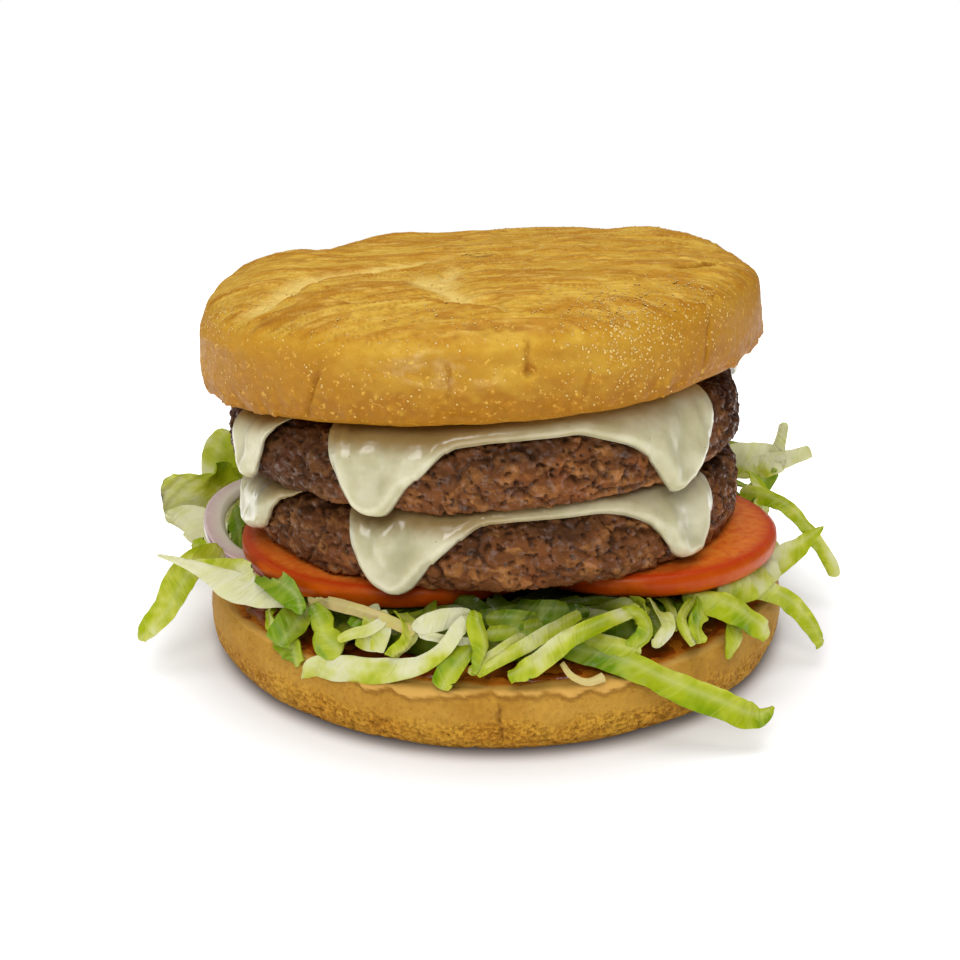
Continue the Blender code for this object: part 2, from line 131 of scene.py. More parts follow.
def bumps(point, size, seed=0.0, octaves=1):
    """Noise of about -1 to 1 whose lumps are size across."""
    spot = Vector((point[0] / size[0], point[1] / size[1], point[2] / size[2] + seed))
    return sum(noise.noise(spot * 2**k) / 2**k for k in range(octaves))


def stack_matrix():
    turn = Euler((-math.radians(STACK_PITCH), -math.radians(STACK_ROLL), 0))
    return Matrix.Translation((0, 0, STACK_BASE)) @ turn.to_matrix().to_4x4()


def stack_height(x, y):
    return STACK_BASE - y * math.tan(math.radians(STACK_PITCH)) + x * math.tan(math.radians(STACK_ROLL))


def polyline_distance(x, y, points):
    """(distance, share along, signed side) of a plan point from a chain of points."""
    best = (1e9, 0.0, 1.0)
    for k, (a, b) in enumerate(zip(points, points[1:])):
        run_x, run_y = b[0] - a[0], b[1] - a[1]
        share = ((x - a[0]) * run_x + (y - a[1]) * run_y) / (run_x**2 + run_y**2)
        held = min(1.0, max(0.0, share))
        off_x, off_y = x - a[0] - held * run_x, y - a[1] - held * run_y
        away = math.hypot(off_x, off_y)
        if away < best[0]:
            side = run_x * off_y - run_y * off_x
            best = (away, (k + held) / (len(points) - 1), math.copysign(1.0, side))
    return best


# ---------------------------------------------------------------- meshes


def new_object(name, shape, surface):
    """A smooth-shaded object. Its shape is what mesh_from takes after the name."""
    mesh = mesh_from(name, *shape)
    obj = bpy.data.objects.new(name, mesh)
    bpy.context.scene.collection.objects.link(obj)
    mesh.materials.append(surface)
    mesh.shade_smooth()
    return obj


def finish_piece(obj, slot, *nodes):
    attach(obj, "root")
    for node in nodes:
        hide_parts(node)
    return obj


def mesh_from(name, verts, faces, marks=None):
    """A mesh in metres from millimetre points, with one float attribute for each name in marks."""
    mesh = bpy.data.meshes.new(name)
    mesh.from_pydata([v * MM for v in verts], [], faces)
    mesh.update()
    for mark, values in (marks or {}).items():
        mesh.attributes.new(mark, "FLOAT", "POINT").data.foreach_set("value", values)
    return mesh


def even_shares(place, rings, coarse=()):
    """Shares of a profile that cut its length evenly. Each stretch in coarse is (from, to, weight):
    it is hidden, and its length counts for less."""
    steps = 3000
    fine = [place(0.0, k / steps) for k in range(steps + 1)]
    total = [0.0]
    for k in range(steps):
        weight = min([w for low, high, w in coarse if low <= k / steps < high], default=1.0)
        total.append(total[-1] + (fine[k + 1] - fine[k]).length * weight)
    shares, k = [], 0
    for ring in range(1, rings):
        while total[k] < total[-1] * ring / rings:
            k += 1
        shares.append(k / steps)
    return shares


def ring_azimuth(k, segments):
    """Azimuth of a ring's point. The points lie closer together at the front."""
    turn = 2 * math.pi * k / segments - math.pi
    return math.degrees(turn - 0.35 * math.sin(turn))


def turned_piece(place, segments, shares):
    """(verts, faces) of a closed piece: rings of points between a pole on top and one underneath.
    place(azimuth, share) is the point at a share of the profile, from 0 on top to 1 underneath."""
    verts = [place(0.0, 0.0)]
    for share in shares:
        verts += [place(ring_azimuth(k, segments), share) for k in range(segments)]
    verts.append(place(0.0, 1.0))
    faces = []
    for k in range(segments):
        after = (k + 1) % segments
        faces.append((0, 1 + k, 1 + after))
        last = 1 + (len(shares) - 1) * segments
        faces.append((len(verts) - 1, last + after, last + k))
        for ring in range(len(shares) - 1):
            top = 1 + ring * segments
            faces.append((top + k, top + segments + k, top + segments + after, top + after))
    return verts, faces


def carve(verts, faces, relief, mark_names):
    """Moves each point along its normal by relief(point, normal), which also returns its marks."""
    mesh = mesh_from("rough", verts, faces)
    normals = [v.normal.copy() for v in mesh.vertices]
    bpy.data.meshes.remove(mesh)
    marks = {name: [] for name in mark_names}
    moved = []
    for point, normal in zip(verts, normals):
        offset, *values = relief(point, normal)
        moved.append(point + (normal * offset if isinstance(offset, float) else offset))
        for name, value in zip(mark_names, values):
            marks[name].append(value)
    return moved, marks


# ---------------------------------------------------------------- materials


def srgb(red, green, blue):
    """The linear colour of 0-255 screen values."""
    def linear(value):
        value /= 255
        return value / 12.92 if value <= 0.04045 else ((value + 0.055) / 1.055) ** 2.4
    return (linear(red), linear(green), linear(blue), 1.0)


class Surface:
    """A node material being made. Its methods add nodes, and most return the socket that comes out."""

    def __init__(self, name, **sockets):
        self.material = bpy.data.materials.new(name)
        self.material.use_nodes = True
        self.tree = self.material.node_tree
        self.shader = self.tree.nodes["Principled BSDF"]
        self.colour = None
        for socket, value in sockets.items():
            self.shader.inputs[socket.replace("_", " ")].default_value = value
        self.place = self.add("ShaderNodeTexCoord").outputs["Object"]

    def add(self, kind, inputs=None, **settings):
        node = self.tree.nodes.new(kind)
        for setting, value in settings.items():
            setattr(node, setting, value)
        for socket, value in (inputs or {}).items():
            self.feed(node.inputs[socket], value)
        return node

    def feed(self, socket, value):
        if isinstance(value, bpy.types.NodeSocket):
            self.tree.links.new(value, socket)
        else:
            socket.default_value = value

    def into(self, socket, value):
        self.feed(self.shader.inputs[socket], value)

    def spot(self, size, stretch=(1, 1, 1)):
        """Position in units of size, given in mm, with axes divided by stretch."""
        scale = tuple(1 / (size * MM * s) for s in stretch)
        return self.add("ShaderNodeMapping", {"Vector": self.place, "Scale": scale}).outputs["Vector"]

    def noise_at(self, vector, scale, detail, roughness=0.5):
        inputs = {"Vector": vector, "Scale": scale, "Detail": detail, "Roughness": roughness}
        return self.add("ShaderNodeTexNoise", inputs).outputs["Fac"]

    def noise(self, size, detail=2.0, stretch=(1, 1, 1), roughness=0.5):
        """Noise of 0 to 1 whose lumps are size mm across, times stretch."""
        return self.noise_at(self.spot(size, stretch), 1.0, detail, roughness)

    def cells(self, size):
        """Distance, in units of size mm, from the nearest of points strewn about that far apart."""
        inputs = {"Vector": self.spot(size), "Scale": 1.0}
        return self.add("ShaderNodeTexVoronoi", inputs).outputs["Distance"]

    def mark(self, name):
        return self.add("ShaderNodeAttribute", attribute_name=name).outputs["Fac"]

    def range(self, value, low, high, to_low=0.0, to_high=1.0):
        inputs = {"Value": value, "From Min": low, "From Max": high, "To Min": to_low, "To Max": to_high}
        return self.add("ShaderNodeMapRange", inputs, interpolation_type="SMOOTHSTEP").outputs["Result"]

    def calc(self, operation, a, b=0.0):
        return self.add("ShaderNodeMath", {0: a, 1: b}, operation=operation).outputs[0]

    def times(self, a, b):
        return self.calc("MULTIPLY", a, b)

    def mix(self, share, a, b, blend="MIX"):
        node = self.add("ShaderNodeMix", data_type="RGBA", blend_type=blend)
        sockets = {s.identifier: s for s in node.inputs}
        self.feed(sockets["Factor_Float"], share)
        self.feed(sockets["A_Color"], a)
        self.feed(sockets["B_Color"], b)
        return next(s for s in node.outputs if s.identifier == "Result_Color")

    def paint(self, rgb, share, by=None, blend="MIX"):
        """Lays a colour of 0-255 values over the surface's colour: share of it, or share times by."""
        if by is not None:
            share = self.times(share, by)
        self.colour = self.mix(share, self.colour, srgb(*rgb), blend)

    def bump(self, height, depth, under=None):
        """Bump of depth mm for a height of 0 to 1."""
        inputs = {"Height": height, "Distance": depth * MM, "Strength": 1.0}
        if under is not None:
            inputs["Normal"] = under
        return self.add("ShaderNodeBump", inputs).outputs["Normal"]


# ---------------------------------------------------------------- crown

VALLEY = (
    (-48, -33), (-43.5, -28), (-40.5, -21), (-38, -14), (-33.5, -9), (-27.4, -8.8), (-20.5, -5.2), (-12, 0),
    (-2, 4),
)
STAR = (-10.6, -30.0)
STAR_ARMS = (
    (STAR, (-6.8, -39), (-2, -46)),
    (STAR, (-9.4, -20), (-6.5, -10)),
    (STAR, (-14.5, -23.5), (-18, -18.5)),
)
FRONT_RIDGE = (
    (-38, -27), (-34.5, -33.5), (-24.7, -37.5), (-14.8, -39.4), (-10.5, -40.8), (-4, -46.5), (2, -50),
)
ISLAND_RIDGE = ((-39.5, -25), (-36.8, -17), (-31.9, -14.6), (-26.8, -14), (-19.6, -17), (-13, -21))
SLIT = ((34, -22.8), (39, -19.8), (43, -14.7))
# Toasted blotches on the crown: middle, half length, half width.
BLOTCHES = (
    ((-51, -31, 61.5), 6, 3.5), ((32, -29, 81), 5.5, 4), ((8, -49, 80), 4.5, 1.2), ((15, -55, 80), 4.5, 1.0),
    ((-13, 28, 78), 8, 2.2), ((-24, -30, 79), 9, 1.5), ((4, 5, 80), 9, 2.2), ((20, 26, 80), 9, 2),
)
# Where the crown's top edge sinks or rises behind and its side bulges out, besides the solid's swells:
# azimuth, half width in degrees, mm.
TOP_DENTS = ((-128, 15, -0.9), (-151, 15, 0.9), (120, 22, 1.7), (91, 14, -0.7))
SIDE_BULGES = ((-70, 34, 1.9), (92, 34, 1.3))
# Cracks in the crown's side: azimuth at the top and at the bottom, top and bottom height, depth.
CROWN_CRACKS = (
    (-29.0, -33.5, 68.5, 58.5, 0.7),
    (-5.1, -4.9, 71.5, 65.0, 0.45),
    (8.3, 8.6, 79.0, 69.5, 0.5),
    (46.5, 45.0, 76.0, 65.0, 0.7),
    (19.3, 18.6, 70.0, 64.0, 0.3),
    (118, 121, 76.0, 66.0, 0.5),
    (205, 201, 74.0, 64.0, 0.5),
)
CROWN_PIT = Vector((5.4, -55.8, 70.4))
FLOUR_AND_SHEEN_MIDDLE = Vector((-10, -55, 70.5))
# Marks: pale crust; toast, with painted shade on the sides; dark, painted shade in recesses; flour with a
# painted sheen.
CROWN_MARKS = ("pale", "toast", "dark", "flour_and_sheen")
CROWN_CEILING = 81.8  # just below the solid's highest point


def crown_matrix():
    height = STACK_BASE + UPPER_HEIGHT + PATTY_THICKNESS / 2 + CHEESE_SPACE + GAP + CROWN_THICKNESS / 2
    turn = Euler((-math.radians(STACK_PITCH), -math.radians(CROWN_ROLL), 0))
    return Matrix.Translation((*CROWN_CENTRE, height)) @ turn.to_matrix().to_4x4()


def hump(azimuth, middle, half_width, height):
    """A smooth rise to height at an azimuth, nothing from half_width either side of it."""
    away = abs((azimuth - middle + 180) % 360 - 180)
    return height * fade(away, 0, half_width)


def crown_place(azimuth, share):
    wave = polar(azimuth, 1.0) * 5 / 4 + Vector((0, 0, 3.0))
    radius = CROWN_RADIUS + 0.9 * noise.noise(wave)
    half = CROWN_THICKNESS / 2
    if share > 0.5:
        side = 1 - share
        droop = hump(azimuth, *CROWN_DROOP)
        foot = CROWN_FOOT - 1.3 * droop
        turn = max(0.0, side / 0.25 - 1) * math.pi / 2
        reach = (radius - foot) * min(1.0, side / 0.25) + foot * math.sin(turn)
        hang = droop * smooth(reach, radius - 2.6, radius - 1.2) * math.cos(turn)
        return polar(azimuth, reach, -half * math.cos(turn) ** 0.75 - hang)
    turn = share * math.pi
    reach, height = radius * math.sin(turn) ** 0.5, half * math.cos(turn) ** 0.55
    outer = smooth(reach, 0.4 * radius, 0.85 * radius)
    shoulder = sum(hump(azimuth, *swell) for swell in CROWN_SWELLS) * outer
    return polar(azimuth, reach, height + shoulder * smooth(height, 0.3 * half, 0.9 * half))


def crack(point, cracks, centre, width):
    """Depth of the side cracks at a point."""
    azimuth = azimuth_of(point.x - centre[0], point.y - centre[1])
    depth = 0.0
    for top_azimuth, low_azimuth, top, low, deepest in cracks:
        share = (top - point.z) / (top - low)
        if not -0.1 < share < 1.1:
            continue
        middle = top_azimuth + (low_azimuth - top_azimuth) * share
        middle += 0.5 * bumps(point, (9, 9, 2.2), top)
        aside = abs((azimuth - middle + 180) % 360 - 180) * math.radians(CROWN_RADIUS)
        ends = smooth(share, -0.1, 0.15) * fade(share, 0.85, 1.1)
        depth = max(depth, deepest * ends * fade(aside, 0, width))
    return depth


def blotch_at(point):
    """How toasted the blotches leave a point of the crown."""
    darkening = 0.0
    for middle, long, wide in BLOTCHES:
        off = point - Vector(middle)
        reach = math.hypot(off.x / long, off.y / wide, off.z / 4) + 0.35 * bumps(point, (3, 1.5, 2), 17.0, 2)
        darkening = max(darkening, fade(reach, 0.7, 1.15))
    return darkening


def flour_and_sheen_at(point):
    """How much flour dusts a point of the crown, with a painted sheen over the same patch."""
    spot = (point - FLOUR_AND_SHEEN_MIDDLE) * 0.1
    flour_and_sheen = fade(math.hypot(spot.x * 0.85, spot.y, spot.z * 2.6 + 0.35 * spot.x), 0.55, 1.1)
    return flour_and_sheen * smooth(bumps(point, (3.5, 3.5, 1.6), 6.0, 2), -0.35, 0.3)


def crown_relief(point, normal):
    x, y = point.x, point.y
    from_middle = plan_distance(point, CROWN_CENTRE)
    top = smooth(normal.z, 0.25, 0.8)
    side = 1 - top if normal.z > -0.6 else 0.0
    azimuth = azimuth_of(x - CROWN_CENTRE[0], y - CROWN_CENTRE[1])
    outer = smooth(from_middle, 34, 50)
    shift = Vector((0, 0, top * outer * sum(hump(azimuth, *dent) for dent in TOP_DENTS) - 0.3 * top))
    bulge = smooth(-normal.z, -0.2, 0.3) * fade(-normal.z, 0.75, 1.0)
    shift += polar(azimuth, bulge * sum(hump(azimuth, *swell) for swell in SIDE_BULGES))
    offset = 0.35 * bumps(point, (11, 11, 8), 2.0, 2) + 0.07 * bumps(point, (2.2, 2.2, 1.6), 5.0, 2)
    wander = (2.0 * bumps(point, (9, 5, 9), 7.0), 1.2 * bumps(point, (9, 5, 9), 11.0))
    x, y = x + wander[0], y + wander[1]

    streak = bumps((x, y, 0), (15, 3.4, 1), 1.7) + 0.5 * bumps((x, y, 0), (6, 1.5, 1), 4.1)
    patch = smooth(streak, -0.05, 0.25)
    wrinkle = fade(abs(bumps((x, y, 0), (17, 2.6, 1), 9.3)), 0.0, 0.09)
    fine_wrinkle = fade(abs(bumps((x, y, 0), (9, 1.1, 1), 14.0)), 0.0, 0.12)
    folds = top * (0.3 * patch - 0.3 * wrinkle - 0.12 * fine_wrinkle)

    away, along, _ = polyline_distance(x, y, VALLEY)
    run = smooth(along, 0.0, 0.12) * fade(along, 0.75, 1.0)
    valley = run * fade(away, 0.5, 5.0)
    pale = run * fade(away, 1.2, 3.8)
    for arm in STAR_ARMS:
        away, along, _ = polyline_distance(x, y, arm)
        star = fade(away, 0.3, 5.0 - 2.6 * along) * fade(along, 0.45, 1.0)
        valley, pale = max(valley, 0.6 * star), max(pale, star)
    folds -= 1.3 * valley * top

    toast = patch * (1 - pale)
    for ridge, height in ((FRONT_RIDGE, 0.9), (ISLAND_RIDGE, 0.55)):
        away, along, turn = polyline_distance(x, y, ridge)
        ends = smooth(along, 0.0, 0.15) * fade(along, 0.85, 1.0)
        raised = turn < 0
        fall = fade(away, 0, 6) * ends * top
        folds += height * fall * (0.5 if raised else -0.6)
        if not raised:
            pale = max(pale, 0.8 * ends * fade(away, 0.3, 3.0))
        elif away < 1.6:
            toast = max(toast, ends)
    away, along, _ = polyline_distance(point.x, point.y, SLIT)
    slit = fade(away, 0.3, 1.1) * smooth(normal.z, 0.1, 0.4)
    crease = crack(point, CROWN_CRACKS, CROWN_CENTRE, 0.5) * side
    pit = fade((point - CROWN_PIT).length, 0.5, 1.5)
    offset += folds - 1.5 * slit - crease - 0.9 * pit
    under = side * smooth(-normal.z, 0.0, 0.55) * fade(-normal.z, 0.9, 1.0)
    torn = bumps(point, (3.2, 3.2, 5), 3.0, 3)
    scallop = bumps(point, (5.5, 5.5, 40), 13.0, 2)
    crumbs = smooth(bumps(point, (1.1, 1.1, 1.1), 8.0), 0.15, 0.5)
    offset += under * (0.8 * torn + 0.9 * scallop + 0.35 * crumbs)
    pore = smooth(bumps(point, (0.9, 0.9, 0.7), 4.0, 2), 0.35, 0.7) * (0.25 + 0.75 * under)
    offset -= 0.18 * pore
    lines = max(0.6 * wrinkle, 0.45 * fine_wrinkle) * top * (1 - pale)
    # dark is painted shade in the slit, the cracks, the pit, the wrinkle grooves and the pores
    dark = max(slit * 1.3, crease * 1.6, 0.8 * pit, lines, 0.6 * pore)
    # besides the blotches, the sides turned away from the front get painted shade in the toast mark
    darkening = max(blotch_at(point), 0.9 * side * smooth(abs(azimuth - 18), 26, 62))
    calm = smooth(from_middle, 1.0, 6.0)  # the mesh is too crowded for relief at its middle
    moved = normal * offset * calm + shift
    return moved, pale * top, max(toast * top, darkening), min(1.0, dark) * calm, flour_and_sheen_at(point)


def crown_surface():
    look = Surface("crown_crust", Roughness=0.5, Specular_IOR_Level=0.11)
    broad = look.noise(16, 3, roughness=0.6)
    fine = look.noise(1.3, 4, roughness=0.7)
    facing = look.add("ShaderNodeNewGeometry").outputs["Normal"]
    split = look.add("ShaderNodeSeparateXYZ", {"Vector": facing})
    height, right = split.outputs["Z"], split.outputs["X"]
    upward = look.range(height, 0.6, 0.93)
    look.colour = look.mix(look.range(broad, 0.36, 0.66), srgb(214, 171, 62), srgb(194, 145, 42))
    # toast, with painted shade on the crown's sides
    look.paint((184, 126, 30), look.mark("toast"), 0.8)
    streaks = look.noise(2.0, 5, stretch=(3.6, 1, 1), roughness=0.7)
    pale = look.range(streaks, 0.48, 0.66, 0, 0.55)
    look.paint((236, 200, 98), pale, upward)
    brown = look.range(look.noise(1.4, 5, stretch=(4.5, 1, 1), roughness=0.7), 0.56, 0.72, 0, 0.3)
    look.paint((174, 114, 32), brown, upward)
    look.paint((228, 198, 112), look.mark("pale"), 0.85)
    patchiness = look.range(look.noise(0.8, 4, roughness=0.8), 0.36, 0.6, 0.15, 0.7)
    # flour on the front face, partly a painted sheen
    look.paint((240, 208, 138), look.mark("flour_and_sheen"), patchiness)
    # painted shade of small pits, as dark dots
    pit_shade = look.range(look.cells(1.7), 0.0, 0.2, 0.55, 0.0)
    look.paint((176, 108, 24), pit_shade)
    # painted shade in the crust's recesses
    look.paint((140, 80, 12), look.mark("dark"), 0.85)
    # painted shade: the lower side, facing down, is darker
    look.paint((152, 99, 18), look.range(height, 0.35, -0.3, 0, 0.95))
    # painted shade on the side that faces right
    look.paint((160, 100, 12), look.range(right, 0.1, 0.8, 0, 0.5))
    mottle = look.range(look.noise(2.2, 5, roughness=0.75), 0.46, 0.66, 0, 0.45)
    look.paint((184, 122, 20), mottle)
    glint = look.range(look.noise(1.1, 3, roughness=0.7), 0.58, 0.7, 0, 0.5)
    look.paint((240, 200, 92), glint)
    look.into("Base Color", look.colour)
    look.into("Roughness", look.range(fine, 0.3, 0.7, 0.4, 0.6))
    grain = look.bump(fine, 0.22)
    look.into("Normal", look.bump(look.noise(4.2, 3, stretch=(2.5, 1, 1)), 0.35, grain))
    return look.material


def make_crown():
    segments, rings = 560, 150
    shares = even_shares(crown_place, rings, ((0.68, 1.0, 0.12),))
    verts, faces = turned_piece(crown_place, segments, shares)
    place = crown_matrix()
    verts, marks = carve([place @ v for v in verts], faces, crown_relief, CROWN_MARKS)
    for point in verts:
        point.z = min(point.z, CROWN_CEILING)
    crown = new_object("crown_bun", (verts, faces, marks), crown_surface())
    return finish_piece(crown, "crown_crust", "crown")


# ---------------------------------------------------------------- heel

# dark holds painted shade in cracks and pores, a painted shadow under the lip, a darker bottom edge and char
HEEL_MARKS = ("upper", "toast", "dark", "lip")
HEEL_CRACKS = (  # in the same way as the crown's
    (0.2, 0.8, 10.8, 3.4, 0.55), (64, 66, 10, 5, 0.3), (150, 147, 11, 4, 0.4), (-120, -117, 10, 4, 0.4),
)


def heel_place(azimuth, share):
    radius = HEEL_RADIUS + 0.7 * noise.noise(polar(azimuth, 1.5) + Vector((0, 0, 1.0)))
    if share > 0.5:
        side = 1 - share
        foot = HEEL_FOOT * min(1.0, side / 0.2)
        turn = max(0.0, (side - 0.2) / 0.3) * math.pi / 2
        reach = foot + (radius - HEEL_FOOT) * math.sin(turn) ** 0.8
        return polar(azimuth, reach, HEEL_WIDEST * (1 - math.cos(turn) ** 0.9))
    turn = max(0.0, (share - 0.3) / 0.2) * math.pi / 2
    reach = (radius - HEEL_RIM) * min(1.0, share / 0.3) + HEEL_RIM * math.sin(turn)
    return polar(azimuth, reach, HEEL_WIDEST + (HEEL_HEIGHT - HEEL_WIDEST) * math.cos(turn))


def heel_relief(point, normal):
    azimuth = azimuth_of(point.x, point.y)
    reach = plan_distance(point)
    if normal.z < -0.97:
        return 0.0, 0.0, 0.0, 0.0, 0.0
    side = fade(normal.z, 0.55, 0.95)
    face = 1 - side
    offset = 0.3 * bumps(point, (12, 12, 7), 2.0, 2)
    pore = smooth(bumps(point, (1.5, 1.5, 1.1), 5.0, 2), 0.18, 0.5)
    low = fade(point.z, 4.5, 9.0)
    offset -= side * (0.35 * pore * (0.25 + low) + 0.1 * abs(bumps(point, (0.9, 0.9, 0.9), 8.0)))
    plan = (point.x, point.y, 0)
    edge = 12.0 + 1.2 * bumps(plan, (4.5, 4.5, 1), 3.0, 2) + 0.25 * bumps(plan, (1.6, 1.6, 1), 6.0)
    peeled = smooth(azimuth, -33, -22) * fade(azimuth, 26, 34)
    peeled = max(peeled, smooth(azimuth, 100, 112) * fade(azimuth, 160, 172) * 0.8)
    lip = peeled * smooth(point.z, edge - 0.2, edge + 0.25) * side
    offset += 0.9 * lip
    crease = crack(point, HEEL_CRACKS, (0, 0), 0.6) * side
    offset -= crease
    offset += face * 0.25 * bumps(point, (3, 3, 3), 4.0, 3)
    burnt = 58.2 + 0.9 * bumps(plan, (7, 7, 1), 12.0, 2)
    toast = smooth(reach, 46, 54) * fade(reach, burnt, burnt + 1.4) * fade(point.z, 13.9, 15)
    char = fade(abs(reach - burnt + 0.4), 0.0, 0.8) * smooth(bumps(plan, (4, 4, 1), 5.0, 2), -0.3, 0.3)
    # a painted shadow line under the peeled lip
    shadow_under_lip = peeled * fade(abs(point.z - edge + 0.45), 0.1, 0.6) * side
    base = fade(point.z, 0.2, 1.6)
    # painted shade in the pores low on the side, a darker bottom edge, and char at the cut face's edge
    pores_base_and_char = max(0.55 * pore * low * side, 0.8 * base * side, 0.75 * char * face)
    dark = max(crease * 1.7, 0.6 * shadow_under_lip, pores_base_and_char)
    upper = smooth(point.z + 1.6 * bumps(point, (9, 9, 5), 9.0, 2), 5.6, 9.5)
    return offset, upper * side, toast, min(1.0, dark), max(lip, face)


def heel_surface():
    look = Surface("heel_crust", Roughness=0.65, Specular_IOR_Level=0.12)
    broad = look.noise(11, 3, roughness=0.6)
    fine = look.noise(0.9, 4, roughness=0.7)
    sponge = look.noise(0.8, 3, roughness=0.6)
    look.colour = look.mix(look.range(broad, 0.35, 0.65), srgb(184, 126, 32), srgb(198, 146, 45))
    upper = look.mix(look.range(broad, 0.3, 0.7), srgb(172, 125, 42), srgb(189, 143, 58))
    look.colour = look.mix(look.times(look.mark("upper"), 0.85), look.colour, upper)
    hidden = look.calc("SUBTRACT", 1.0, look.mark("lip"))
    crumb = look.times(hidden, look.range(look.mark("upper"), 0.1, 0.9, 1.0, 0.3))
    # painted shade in the sponge's holes
    pits = look.times(look.range(sponge, 0.52, 0.66, 0, 0.45), crumb)
    look.paint((158, 98, 26), pits)
    look.paint((222, 172, 66), look.range(sponge, 0.46, 0.36, 0, 0.5), crumb)
    look.paint((212, 164, 82), look.mark("lip"))
    speck = look.range(look.cells(1.5), 0.0, 0.3, 0.5, 0.0)
    look.paint((150, 92, 24), speck, hidden)
    look.paint((206, 118, 24), look.mark("toast"))
    char = look.range(look.noise(2.6, 4, roughness=0.7), 0.52, 0.66)
    look.paint((140, 72, 12), char, look.mark("toast"))
    # painted shade and shadow, with the darker bottom edge and char
    look.paint((108, 62, 18), look.mark("dark"), 0.75)
    look.into("Base Color", look.colour)
    holes = look.times(look.range(sponge, 0.5, 0.66, 1.0, 0.0), crumb)
    look.into("Normal", look.bump(holes, 0.22, look.bump(fine, 0.15)))
    return look.material


def make_heel():
    segments, rings = 520, 105
    shares = even_shares(heel_place, rings, ((0, 0.2, 0.15), (0.78, 1.0, 0.1)))
    verts, faces = turned_piece(heel_place, segments, shares)
    verts, marks = carve(verts, faces, heel_relief, HEEL_MARKS)
    for point in verts:
        point.z = max(point.z, 0.0)
    heel = new_object("heel_bun", (verts, faces, marks), heel_surface())
    return finish_piece(heel, "heel_crust", "heel")


# ---------------------------------------------------------------- patties

PATTY_MARKS = ("deep", "char", "lump")


def puck(share, radius, height, top_edge, bottom_edge, face_share=0.2):
    """(radius, height above the middle) on a disc with rounded edges, at a share of its profile."""
    below = share > 0.5
    side = 1 - share if below else share
    edge, sign = (bottom_edge, -1) if below else (top_edge, 1)
    if side <= face_share:
        return (radius - edge) * side / face_share, sign * height / 2
    turn = (side - face_share) / (0.5 - face_share) * math.pi / 2
    rim = (top_edge - bottom_edge) / 2
    return radius - edge + edge * math.sin(turn), sign * ((height / 2 + sign * rim) * math.cos(turn)) - rim


def level_matrix(level):
    centre, _, height, roll = LEVELS[level]
    turn = Matrix.Rotation(-math.radians(roll), 4, "Y")
    return stack_matrix() @ Matrix.Translation((*centre, height)) @ turn


def patty_place(azimuth, share, radius):
    out, height = puck(share, radius, PATTY_THICKNESS, PATTY_TOP_EDGE, PATTY_BOTTOM_EDGE)
    return polar(azimuth, out, height)


# Painted shade at a patty's left and right, carried in its char mark.
SIDE_SHADE = {"lower": 0.3, "upper": 0.95}  # how much darker a patty is at its left and right


def patty_relief(point, seed, side_shade):
    """Minced meat: lumps with cracks round them, grains on the lumps, and pores. Its fat glints through the
    beef surface's roughness.
    """
    spot = point + Vector((0, 0, seed))
    warp = noise.noise_vector(spot / 4.5) * 2.6 + noise.noise_vector(spot / 1.5) * 0.5
    stretch = Vector((0.8, 0.8, 1.3))
    lumps = noise.voronoi((spot + warp) * stretch / 6.4)[0]
    grains, homes = noise.voronoi((spot + warp * 0.55) * stretch / 2.4)
    crumbs = noise.voronoi((spot + warp * 0.3) / 1.0)[0]
    crease = fade(lumps[1] - lumps[0], 0.0, 0.1) * smooth(bumps(spot, (7, 7, 5), 16.0), -0.35, 0.1)
    split = fade(grains[1] - grains[0], 0.0, 0.3)
    own = noise.cell(homes[0] * 9.7 + Vector((0.5, 0.5, 0.5)))
    pore = smooth(bumps(spot, (1.2, 1.2, 1.0), 9.0, 2), 0.38, 0.58)
    swell = bumps(spot, (12, 12, 7), 3.0, 3)
    rough = bumps(spot, (2.8, 2.8, 1.5), 5.0, 3)
    offset = 0.7 * swell + 0.2 + 0.5 * rough - 0.8 * crease - 0.08 * split + 0.07 * (own - 0.5)
    offset -= 0.75 * pore + 0.1 * fade(crumbs[1] - crumbs[0], 0.0, 0.4)
    height = point.z / PATTY_THICKNESS * 2
    # darker towards the top: char, partly a painted shadow under the cheese
    char = smooth(height + 0.7 * swell, 0.15, 0.75) * smooth(bumps(spot, (5, 5, 4), 6.0, 2), -0.6, 0.3)
    # painted shade at the left and right
    char = max(char, side_shade * smooth(abs(azimuth_of(point.x, point.y) - 16), 34, 56))
    # deep is painted shade in the creases, splits, pores and hollows
    deep = min(1.0, 0.8 * crease + 0.25 * split + 1.1 * pore + 0.3 * smooth(-rough, 0.2, 0.6))
    return offset, deep, char, own


def beef_surface():
    look = Surface("beef", Roughness=0.5, Specular_IOR_Level=0.3)
    fine = look.noise(0.6, 4, roughness=0.75)
    uneven = look.range(look.noise(1.6, 4, roughness=0.65), 0.3, 0.7, -0.45, 0.45)
    grain = look.calc("ADD", look.mark("lump"), uneven)
    look.colour = look.mix(look.range(grain, 0.0, 0.6), srgb(114, 68, 34), srgb(140, 90, 46))
    look.paint((166, 112, 64), look.range(grain, 0.7, 1.25))
    pink = look.range(look.noise(7, 2), 0.52, 0.68, 0, 0.3)
    look.paint((146, 80, 42), pink)
    # char at the top, partly a painted shadow under the cheese, and painted shade at the sides
    look.paint((62, 36, 18), look.mark("char"), 0.8)
    # painted shade in the meat's recesses
    look.paint((48, 28, 15), look.mark("deep"), 0.75)
    look.into("Base Color", look.colour)
    wet = look.noise(1.3, 3, roughness=0.65)
    look.into("Roughness", look.range(wet, 0.48, 0.62, 0.7, 0.28))
    look.into("Specular IOR Level", look.range(wet, 0.5, 0.64, 0.1, 0.5))
    look.into("Normal", look.bump(look.noise(1.1, 3, roughness=0.6), 0.18, look.bump(fine, 0.12)))
    return look.material


